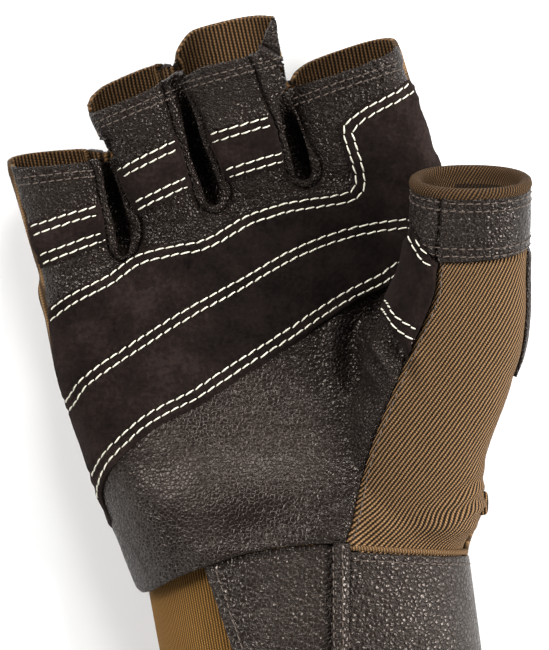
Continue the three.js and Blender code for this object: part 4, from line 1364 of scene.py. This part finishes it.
class GLOVE_OT_thumb(bpy.types.Operator):
    """Ribbed thumb panel, hem band, lining and back patch"""

    bl_idname = "glove.thumb"
    bl_label = "Thumb"

    def execute(self, context):
        h, f, m = shapes()
        self.ribs(h, f, m)
        self.band(f, m)
        self.lining(h, m)
        self.back_patch(h, m)
        return {"FINISHED"}

    @staticmethod
    def ribs(h, f, m):
        """Panel that is tucked under the wrap and tugged at the tab."""
        skin, low = panel("ribbed")
        p = skin[0]
        tuck = smooth(-f.wrist(p), -9.5, -3.5) * smooth(p[:, 0], 18, 24)
        stand = 0.35 * low + edge_dip(seam_gap(p, f.back, f.ribbed, f.band), 0.6, 1.5)
        stand -= 1.4 * tuck + 0.15
        tug = near_point(p, h.tab[0], h.tab[1] + 1, 9.0, 6.0)
        stand += 0.5 * tug * np.sin((p[:, 1] - p[:, 0] * 0.5) * 1.3)
        sewn_piece("ribbed_thumb", skin, stand, m.ribbed, ["thumb_fabric"],
                   KNIT_WALL, None, thumb_cloth_map(h, f, p))

    @staticmethod
    def band(f, m):
        """Hem band, thicker beside its own pressed seam."""
        skin, low = panel("band")
        p = skin[0]
        groove = f.band_groove(p)
        stand = (0.5 * low + 0.45 + edge_dip(f.band(p), 0.5, 0.8)
                 + edge_dip(f.thumb_tip(p), 0.45, 0.9))
        ridge = 0.35 * np.exp(-((groove - 0.9) / 0.8) ** 2)
        stand += np.where(f.thumb_frame(p)[1] > BAND_SEAM, ridge, 0)
        stand -= 0.9 * np.exp(-(groove / 0.32) ** 2)
        sewn_piece("thumb_hem_band", skin, stand, m.leather, ["thumb_band"], 1.3)

    @staticmethod
    def lining(h, m):
        """Knit folded out over the rim and pressed together deep in the opening."""
        around = 120
        # Millimetres past the rim and out from the form, from the outside over the roll.
        section = [(-1.3, -0.5), (-0.6, 0.05), (0.2, 0.3), (0.9, 0.1), (1.3, -0.4), (1.35, -1.1),
                   (1.0, -1.7), (0.3, -2.1), (-0.6, -2.3)]
        pressed_from = len(section) - 1
        section += [(-0.6 - 0.9 * k, -2.3 - 0.04 * k) for k in range(1, 18)]
        rings, uv, run = [], [], 0.0
        for k, (out, grow) in enumerate(section):
            run += math.dist(section[k], section[k - 1]) if k else 0.0
            along = 1 + out / h.thumb_length
            ring = thumb_ring(h, along, grow, around)
            centre, _, thick = thumb_station(h, along)
            shut = 0.66 * smooth(-out, 0.2, 9.0) if k >= pressed_from else 0.0
            if shut:
                height = (ring - centre) @ h.thumb_up
                front = (thick + grow) * 0.7
                wave = 0.5 * np.sin((ring[:, 0] - centre[0]) * 0.28) * shut
                pressed = front - (front - height) * (1 - shut) + wave
                ring = ring + (pressed - height)[:, None] * h.thumb_up
            rings.append(ring)
            uv += [(j * 0.68 + run * 0.55, run * 1.1) for j in range(around)]
        points, faces = loft(rings, caps=False)
        piece = new_object("thumb_lining_knit", points, [face[::-1] for face in faces])
        finish_piece(piece, m.rolled, ["thumb_lining"], 0.4, None, uv)
        # Deep in the opening the faces take the hollow knit: painted shade.
        piece.data.materials.append(m.hollow)
        middle = thumb_station(h, 1.0)[0][0]
        for polygon in piece.data.polygons:
            dark_from = 9.0 + 1.6 * smooth(points[polygon.vertices[0]][0], middle + 5, middle - 9)
            polygon.material_index = 1 if polygon.index // around > dark_from else 0

    @staticmethod
    def back_patch(h, m):
        """Thin leather over the thumb's back, with edges that fall to the knit."""
        rings, columns = [], 34
        for at in np.linspace(0.42, 0.812, 34):
            last = 5 - 16 * (1 - smooth(at, 0.40, 0.60))
            angles = np.radians(np.linspace(-100, last, columns))
            centre, half, thick = thumb_station(h, at)
            c, s = rounded(angles, THUMB_SQUARENESS)
            end = min(1.0, (at - 0.415) / 0.05, (0.815 - at) / 0.02)
            side = np.maximum(np.minimum(angles - angles[0], angles[-1] - angles), 0)
            fade = np.minimum(1, side / 0.12) ** 0.5
            grow = 0.3 + 0.9 * fade * max(end, 0) ** 0.5
            rings.append(centre + (c * (half + grow))[:, None] * h.thumb_across
                         + (s * (thick + grow))[:, None] * h.thumb_up)
        piece = new_object("thumb_back_leather", np.vstack(rings), grid_faces(len(rings), columns))
        finish_piece(piece, m.leather, ["thumb_back_patch"], 0.9)


def overlay(name, field, material, nodes, rows, lift=1.15):
    """A layer lying on the palm inside field > 0, pressed in along its stitch rows."""
    h, f = SHAPE["hand"], SHAPE["fields"]
    skin = pick(SHAPE["skin"], SHAPE["kind"] == "palm")
    skin = pick(skin, field(centres(skin)) > -3)
    for level, reach in ((0.0, 0.22), (0.3, 0.08), (0.8, 0.08), (1.4, 0.08)):
        skin = cut(skin, field, level, reach)
    skin = pick(skin, field(centres(skin)) > 0)
    p = skin[0]
    body = smooth(np.maximum(field(p), 0), 0, 0.85) ** 0.5
    stand = (relief(f, p, skin[1]) + 0.25 + (lift - 0.25) * body
             + edge_dip(seam_gap(p, f.back, *f.slots), 0.8, 1.4))
    for row in rows:
        stand -= 0.42 * np.exp(-(line_distance(p[:, :2], row) / 0.42) ** 2)
    sewn_piece(name, skin, stand, material, nodes, h.suede_thickness)


class GLOVE_OT_pads(bpy.types.Operator):
    """Suede palm pad, stall patches and crotch patch"""

    bl_idname = "glove.pads"
    bl_label = "Suede pads"

    def execute(self, context):
        h, f, m = shapes()
        rows = white_rows(h)

        def pad(p):
            """The pad's field, which stops under the thumb."""
            beyond = np.where(f.on_thumb(p) > 2.0, FAR_OUTSIDE, FAR_INSIDE)
            return np.minimum(f.pad(p), np.where(p[:, 2] > 30.5, beyond, FAR_INSIDE))

        def stall_patch(p, stall, outline):
            inside = outline_field(p[:, :2], outline)
            return np.where(f.stall_of(p)[0] == stall, inside, FAR_OUTSIDE)

        def crotch(p):
            _, _, z = f.thumb_frame(p)
            on_thumb = (p[:, 2] > 31) & (f.on_thumb(p) > 0)
            return np.minimum(f.crotch(p), np.where(on_thumb, z + 3.0, FAR_OUTSIDE))

        overlay("suede_palm_pad", pad, m.suede, ["palm_pad"], rows["pad"])
        for patch, outline in zip(PATCHES, f.patches):
            name = STALLS[patch.stall].name
            overlay(f"suede_patch_{name}", partial(stall_patch, stall=patch.stall, outline=outline),
                    m.suede, [f"patch_{name}"], rows[name], 0.75)
        overlay("suede_crotch", crotch, m.suede, ["thumb_crotch_patch"], rows["crotch"], 1.0)
        return {"FINISHED"}


def white_rows(h):
    """The white stitch rows, as plan lines by the piece that they lie on."""
    gap = h.row_gap
    top, low, quilt = [palm_line(h, line, 1.0) for line in (PAD_TOP, PAD_LOW, PAD_QUILT)]
    rows = {"pad": [top, beside(top, -gap), beside(low, -PAD_INSET),
                    beside(low, -PAD_INSET - gap), beside(quilt, gap / 2),
                    beside(quilt, -gap / 2)]}
    for patch in PATCHES:
        lines = []
        first, last = patch.low + PATCH_INSET, patch.high - PATCH_INSET
        for out in (first, first + gap, last - gap, last):
            centre, across, half = patch_line(h, patch, out)
            reach = across * (half + 2)
            lines.append(curve_through(
                [centre - reach, centre + h.finger_axis * 0.2, centre + reach], 1.0))
        rows[STALLS[patch.stall].name] = lines
    rows["crotch"] = [palm_line(h, points, 1.0) for points in CROTCH_ROWS]
    return rows


def surface_tree(name):
    """Search tree of a piece's top surface, made once."""
    if name not in SHAPE["trees"]:
        points, faces = SHAPE["tops"][name]
        SHAPE["trees"][name] = BVHTree.FromPolygons([tuple(p) for p in points],
                                                    [tuple(face) for face in faces])
    return SHAPE["trees"][name]


def on_top(line, *names):
    """Plan points dropped on the named pieces, with the surface's normals there.

    A point that misses them, or meets them at the floor, is None.
    """
    out = []
    trees = [surface_tree(name) for name in names]
    for x, y in line:
        hits = [tree.ray_cast(Vector((x, y, 90)), Vector((0, 0, -1))) for tree in trees]
        hits = [hit for hit in hits if hit[0] is not None and hit[0].z > 1.0]
        out.append(max(hits, key=lambda hit: hit[0].z)[:2] if hits else None)
    return out


def whole_runs(row):
    """The unbroken parts of a row, as arrays of points and normals."""
    run = []
    for hit in [*row, None]:
        if hit is not None:
            run.append(hit)
            continue
        if len(run) > 2:
            yield [np.array([np.array(hit[k]) for hit in run]) for k in (0, 1)]
        run = []


def stitches(rows, thread, length, space, seed, slant=7.0):
    """Points and faces of the stitches along rows of surface points and normals."""
    rng = np.random.default_rng(seed)
    # A stitch's rings: share of its length, half width and height over the surface.
    along = np.array([0.0, 0.12, 0.5, 0.88, 1.0])
    wide = np.array([0.4, 0.95, 1.15, 0.95, 0.4]) * thread / 2
    high = np.array([-0.3, 0.2, 0.45, 0.2, -0.3]) * thread
    sides, last = 6, len(along) - 1
    angle = np.linspace(0, 2 * math.pi, sides, endpoint=False)
    ring_faces = [(r * sides + j, r * sides + (j + 1) % sides) for r in range(last)
                  for j in range(sides)]
    one = [(a, b, b + sides, a + sides) for a, b in ring_faces]
    one += [tuple(reversed(range(sides))), tuple(range(last * sides, (last + 1) * sides))]
    points, faces = [], []
    for line, normals in (run for row in rows for run in whole_runs(row)):
        total = run_lengths(line)
        at = 0.3
        while at + length * 0.55 < total[-1]:
            reach = min(length * rng.uniform(0.9, 1.08), total[-1] - at)
            start, end = points_at((at, at + reach), total, line)
            normal = points_at([at + reach / 2], total, normals)[0]
            normal /= np.linalg.norm(normal)
            way = end - start
            size = np.linalg.norm(way)
            way /= max(size, 1e-9)
            side = np.cross(normal, way)
            side /= np.linalg.norm(side)
            turn = math.radians(slant + rng.uniform(-4, 4))
            middle = (start + end) / 2 + side * rng.uniform(-0.06, 0.06)
            lean = way * math.cos(turn) + side * math.sin(turn)
            cross = np.cross(normal, lean)
            base = len(points)
            for t, w, z in zip(along, wide, high):
                centre = middle + lean * (t - 0.5) * size + normal * z
                points += [centre + cross * math.cos(a) * w + normal * math.sin(a) * w
                           for a in angle]
            faces += [tuple(base + corner for corner in face) for face in one]
            at += reach + space
    return points, faces


def ring_row(h, below_tip, name):
    """A row round the thumb below its tip, on the nearest point of a piece."""
    tree = surface_tree(name)
    ring = thumb_ring(h, 1 - below_tip / h.thumb_length, 0.6, 160)
    out = []
    for p in np.vstack([ring, ring[:1]]):
        place, normal, _, far = tree.find_nearest(Vector(p))
        out.append((place, normal) if place is not None and far < 3 else None)
    return out


class GLOVE_OT_stitching(bpy.types.Operator):
    """White and brown stitch rows"""

    bl_idname = "glove.stitching"
    bl_label = "Stitching"

    def execute(self, context):
        h, f, m = shapes()
        lines = white_rows(h)
        under = {"pad": "suede_palm_pad", "crotch": "suede_crotch"}
        white = [on_top(line, under.get(name, f"suede_patch_{name}"))
                 for name in lines for line in lines[name]]
        piece = new_object("white_stitching", *stitches(white, h.thread, h.stitch, 0.15, 11))
        finish_piece(piece, m.white)
        brown = self.hem_rows(h)
        below_tip = [*BAND_ROWS, *[h.band_length - above for above in BAND_LOW_ROWS]]
        brown += [ring_row(h, below, "thumb_hem_band") for below in below_tip]
        brown.append(on_top(beside(f.seam_line, 1.5), "ribbed_thumb"))
        brown += self.wrap_rows(h)
        piece = new_object("brown_stitching",
                           *stitches(brown, h.thread * 0.8, h.stitch * 0.66, 0.45, 12, 4.0))
        finish_piece(piece, m.brown)
        return {"FINISHED"}

    @staticmethod
    def hem_rows(h):
        """Two rows below each stall's rim, on the palm's side."""
        rows = []
        for stall in STALLS:
            up = stall_station(h, stall, 1.0)[2]
            front = up[:2] * stall.thick * h.finger_thickness / 2
            for below in HEM_ROWS:
                at = 1 - below / (stall.length * h.finger_length)
                centre, across, _, half, _ = stall_station(h, stall, at)
                reach = across[:2] * (half - 0.5)
                line = spaced(np.array([centre[:2] - reach, centre[:2] + reach]), 0.8)
                rows.append(on_top(line + front, "leather_palm", *[f"lip_{s.name}" for s in SLOTS]))
        return rows

    @staticmethod
    def wrap_rows(h):
        """The strap's top row, and rows down the panel's, the welt's and the strap's edges."""
        rows = [on_top(SHAPE["strap_top"], "wrap_strap_leather")]
        for (top, bottom), offset, name in (
                (PANEL_EDGE, 1.3, "wrap_front_panel"), (STRAP_EDGE, 0.7, "wrap_piping"),
                (STRAP_EDGE, 2.9, "wrap_piping"), (STRAP_EDGE, 4.6, "wrap_strap_leather")):
            line = [cuff_point(h, top + (bottom - top) * down, down) + h.cuff_across * offset
                    for down in np.linspace(-0.1, 0.98, 60)]
            rows.append(on_top(line, name))
        return rows


def wrap_strip(h, start, stop, bottom, grow, columns, rows):
    """Grid over the cuff between two edges, from above the wrist line to a place down the cuff.

    start and stop give, at a place down the cuff, a share across and a face: 1 front, -1 back.
    """
    points, uv = [], []
    angle = np.linspace(0, 2 * math.pi, 721)
    for row in range(rows):
        share = row / (rows - 1)
        down = STRIP_TOP + (bottom - STRIP_TOP) * share
        ring = cuff_ring(h, down, grow, 720)
        order = np.linspace(strip_angle(start(down)), strip_angle(stop(down)), 600)
        arc = points_at(order % (2 * math.pi), angle, np.vstack([ring, ring[:1]]))
        lengths = run_lengths(arc)
        at = np.linspace(0, lengths[-1], columns)
        points.append(points_at(at, lengths, arc))
        uv += [(x, share * (bottom - STRIP_TOP) * h.cuff_length) for x in at]
    return points, uv


# A strip of the wrap: its piece and node, its two edges, how far it stands out from the cuff, its
# grid's columns and how far below the wrist line it starts.
Strip = namedtuple("Strip", "name node start stop grow columns drop")


def strip_angle(edge):
    """Angle round the cuff's ring of a share across, on its front (1) or back (-1)."""
    share, face = edge
    squareness = TOP_SQUARENESS if face > 0 else LOW_SQUARENESS
    a = math.acos(min(1, abs(share) ** (squareness / 2)))
    a = a if share >= 0 else math.pi - a
    return a if face > 0 else -a


def strip_piece(name, rings, uv, material, nodes, wall, bevel):
    """A strip of the wrap from its grid, facing away from the cuff's middle."""
    points = np.vstack(rings)
    faces = grid_faces(len(rings), len(rings[0]))
    a, b, c, _ = [points[i] for i in faces[len(faces) // 3]]
    if np.cross(b - a, c - a)[2] * (a[2] - CUFF_MIDDLE) < 0:
        faces = [face[::-1] for face in faces]
    piece = new_object(name, points, faces)
    SHAPE["tops"][name] = (points, faces)
    finish_piece(piece, material, nodes, wall, None, uv)
    if bevel:
        soft = piece.modifiers.new("edges", "BEVEL")
        soft.width, soft.segments, soft.limit_method = bevel * 0.001, 3, "ANGLE"
        soft.angle_limit = math.radians(50)
    return piece


class GLOVE_OT_wrist(bpy.types.Operator):
    """Elastic cuff, wrap panel, piping, strap, binding and heel tab"""

    bl_idname = "glove.wrist"
    bl_label = "Wrist wrap"

    def execute(self, context):
        h, f, m = shapes()
        self.cuff(h, m)
        self.strips(h, f, m)
        self.tab(h, m)
        return {"FINISHED"}

    @staticmethod
    def cuff(h, m):
        """Elastic tube that starts 13 mm up inside the palm."""
        rings, uv = [], []
        for at in np.linspace(-13 / h.cuff_length, 1, 70):
            ring = cuff_ring(h, at, 0, 200)
            ring[:, 2] += 0.25 * crumple(ring, (30, 6, 30), 21) * (ring[:, 2] > 12)
            rings.append(ring)
            uv += [(j * 1.1, at * h.cuff_length) for j in range(200)]
        points, faces = loft(rings, caps=False)
        piece = new_object("elastic_cuff", points, [face[::-1] for face in faces])
        finish_piece(piece, m.elastic, ["wrist_elastic"], 1.8, None, uv)

    def strips(self, h, f, m):
        """Panel, piping, strap and the tape over the strap's top edge."""

        def edge(pair, shift=0.0):
            return lambda d: (pair[0] + (pair[1] - pair[0]) * d + shift / h.cuff_half, 1)

        def strap_end(_):
            return STRAP_BACK_EDGE, -1

        base = h.strap_thickness
        strips = [
            Strip("wrap_front_panel", "wrap_panel", edge(PANEL_EDGE), edge(STRAP_EDGE, 1.2),
                  base - 0.7, 60, 0.3),
            Strip("wrap_piping", "wrap_welt", edge(STRAP_EDGE, -0.2), edge(STRAP_EDGE, 3.7),
                  base + 1.3, 14, 0.0),
            Strip("wrap_strap_leather", "wrap_strap", edge(STRAP_EDGE, 3.9), strap_end,
                  base + 0.3, 190, 2.0),
        ]
        for strip in strips:
            rings, uv = wrap_strip(h, strip.start, strip.stop, 1.0, strip.grow, strip.columns, 110)
            rings = self.trim_top(f, rings, strip.drop)
            for ring in rings:
                if strip.name == "wrap_piping":
                    bow = np.sin(np.linspace(0, math.pi, strip.columns))
                    ring[:, 2] += 0.9 * bow ** 0.6 - 0.9
                else:
                    ring[:, 2] += 0.25 * crumple(ring, (9, 14, 9), 23) * smooth(ring[:, 2], 2, 12)
                if strip.name == "wrap_front_panel":
                    run = np.arange(strip.columns) * np.linalg.norm(ring[1] - ring[0])
                    ring[:, 2] += 0.45 * (1 - smooth(run, 2.9, 3.3))
            strip_piece(strip.name, rings, uv, m.wrap, [strip.node],
                        min(strip.grow - 0.4, 2.2), 0.5)
        strap = strips[-1]
        below = rings[0][:, :2] + h.cuff_down * 2.1
        SHAPE["strap_top"] = spaced(below[:int(strap.columns * 0.4)], 0.8)
        # The tape's fold: millimetres down the cuff and out from the strap.
        fold = ((0, -1.4), (0, -0.5), (0.25, 0), (0.9, 0.05), (1.35, -0.3), (1.35, -1.4))
        rings = []
        for down, out in fold:
            grow = base + 0.2 + out
            grid, _ = wrap_strip(h, strap.start, strap.stop, 0.4, grow, strap.columns, 60)
            rings.append(self.trim_top(f, grid, 0.4)[0] + np.array([*(h.cuff_down * down), 0]))
        uv = [(j * 0.7, i * 0.5) for i in range(len(fold)) for j in range(strap.columns)]
        strip_piece("strap_top_tape", rings, uv, m.binding, ["strap_binding"], 0.5, 0)

    @staticmethod
    def trim_top(f, rings, drop):
        """Slides each column of a strip so that it starts at the wrist line."""
        stack = np.array(rings)
        line = f.wrist_line
        out = np.empty_like(stack)
        length = np.arange(len(stack), dtype=float)
        for j in range(stack.shape[1]):
            strand = stack[:, j]
            gap = np.interp(strand[:, 0], line[:, 0], line[:, 1]) - strand[:, 1] - drop / CUFF_SLANT
            at = np.linspace(np.interp(0, gap, length), len(strand) - 1, len(strand))
            out[:, j] = points_at(at, length, strand)
        return list(out)

    @staticmethod
    def tab(h, m):
        """Small folded lump of elastic at the heel of the thumb."""
        x, y = h.tab
        bpy.ops.object.select_all(action="DESELECT")
        bpy.ops.mesh.primitive_cube_add(size=0.001, location=(0, 0, 0))
        piece = bpy.context.view_layer.objects.active
        piece.name = "heel_tab"
        bpy.ops.object.mode_set(mode="EDIT")
        bpy.ops.mesh.select_all(action="SELECT")
        bpy.ops.transform.resize(value=(4.0, 6.2, 3.4))
        bpy.ops.mesh.subdivide(number_cuts=1)
        bpy.ops.transform.translate(value=((x - 0.7) * 0.001, y * 0.001, h.seam_height * 0.001))
        bpy.ops.object.mode_set(mode="OBJECT")
        soft = piece.modifiers.new("soft", "SUBSURF")
        soft.levels = soft.render_levels = 2
        bpy.ops.object.modifier_apply(modifier=soft.name)
        piece.data.uv_layers.remove(piece.data.uv_layers[0])
        uv = [(v.co.x * 1000, v.co.y * 1000) for v in piece.data.vertices]
        finish_piece(piece, m.ribbed, ["pull_tab"], None, None, uv)


class GLOVE_OT_stage(bpy.types.Operator):
    """Pale floor, soft side light and the camera straight above"""

    bl_idname = "glove.stage"
    bl_label = "Stage"

    def execute(self, context):
        scene = context.scene
        bpy.ops.object.select_all(action="DESELECT")
        bpy.ops.mesh.primitive_plane_add(size=4.0, location=(0, 0, -0.0002))
        floor = context.view_layer.objects.active
        floor.name = "floor"
        material, _, shader = plain_material("pale floor", (0.95, 0.95, 0.95), 0.9)
        shader.inputs["Specular IOR Level"].default_value = 0.1
        floor.data.materials.append(material)
        for name, place, power in SOFTBOXES:
            light = bpy.data.lights.new(name, "AREA")
            light.energy, light.size = power, SOFTBOX_SIZE
            lamp = bpy.data.objects.new(name, light)
            lamp.location = place
            aim = Vector((0, 0, 0.02)) - Vector(place)
            lamp.rotation_euler = aim.to_track_quat("-Z", "Y").to_euler()
            scene.collection.objects.link(lamp)
        self.sky(scene)
        camera = bpy.data.cameras.new("camera")
        holder = bpy.data.objects.new("camera", camera)
        scene.collection.objects.link(holder)
        camera.lens = camera.sensor_width * CAMERA_DISTANCE / FRAME_HEIGHT
        camera.clip_end = 20
        holder.location = (*FRAME_CENTRE, CAMERA_DISTANCE + FRAME_PLANE)
        scene.camera = holder
        scene.view_settings.view_transform = "Standard"
        return {"FINISHED"}

    @staticmethod
    def sky(scene):
        """Even light from the sides and below, dark above, so that the leather shows its form."""
        world = bpy.data.worlds.new("studio")
        world.use_nodes = True
        scene.world = world
        tree = world.node_tree
        back = tree.nodes["Background"]
        split = tree.nodes.new("ShaderNodeSeparateXYZ")
        spot = tree.nodes.new("ShaderNodeTexCoord")
        tree.links.new(spot.outputs["Generated"], split.inputs[0])
        tone = ramp(tree, split.outputs[2], [(0.0, 1.0), (0.25, 0.9), (0.5, 0.08), (1.0, 0.025)])
        tree.links.new(tone, back.inputs["Color"])
        back.inputs["Strength"].default_value = 1.5


class GLOVE_PT_panel(bpy.types.Panel):
    """Lists the glove's pieces and sizes"""

    bl_label = "Glove"
    bl_idname = "GLOVE_PT_panel"
    bl_space_type = "VIEW_3D"
    bl_region_type = "UI"
    bl_category = "Glove"

    def draw(self, context):
        layout = self.layout
        for operator in OPERATORS:
            layout.operator(operator.bl_idname)
        for group in (context.scene.glove_sizes, context.scene.glove_colours):
            for name in group.bl_rna.properties.keys():
                if name not in ("rna_type", "name"):
                    layout.prop(group, name)


OPERATORS = (GLOVE_OT_form, GLOVE_OT_palm, GLOVE_OT_back, GLOVE_OT_slots, GLOVE_OT_thumb,
             GLOVE_OT_pads, GLOVE_OT_wrist, GLOVE_OT_stitching, GLOVE_OT_stage)
CLASSES = (GloveSizes, GloveColours, *OPERATORS, GLOVE_PT_panel)


def register():
    for item in CLASSES:
        bpy.utils.register_class(item)
    bpy.types.Scene.glove_sizes = bpy.props.PointerProperty(type=GloveSizes)
    bpy.types.Scene.glove_colours = bpy.props.PointerProperty(type=GloveColours)


def unregister():
    del bpy.types.Scene.glove_colours
    del bpy.types.Scene.glove_sizes
    for item in reversed(CLASSES):
        bpy.utils.unregister_class(item)


def main():
    register()
    bpy.ops.glove.form()
    bpy.ops.glove.palm()
    bpy.ops.glove.back()
    bpy.ops.glove.slots()
    bpy.ops.glove.thumb()
    bpy.ops.glove.pads()
    bpy.ops.glove.wrist()
    bpy.ops.glove.stitching()
    bpy.ops.glove.stage()


if __name__ == "__main__":
    main()
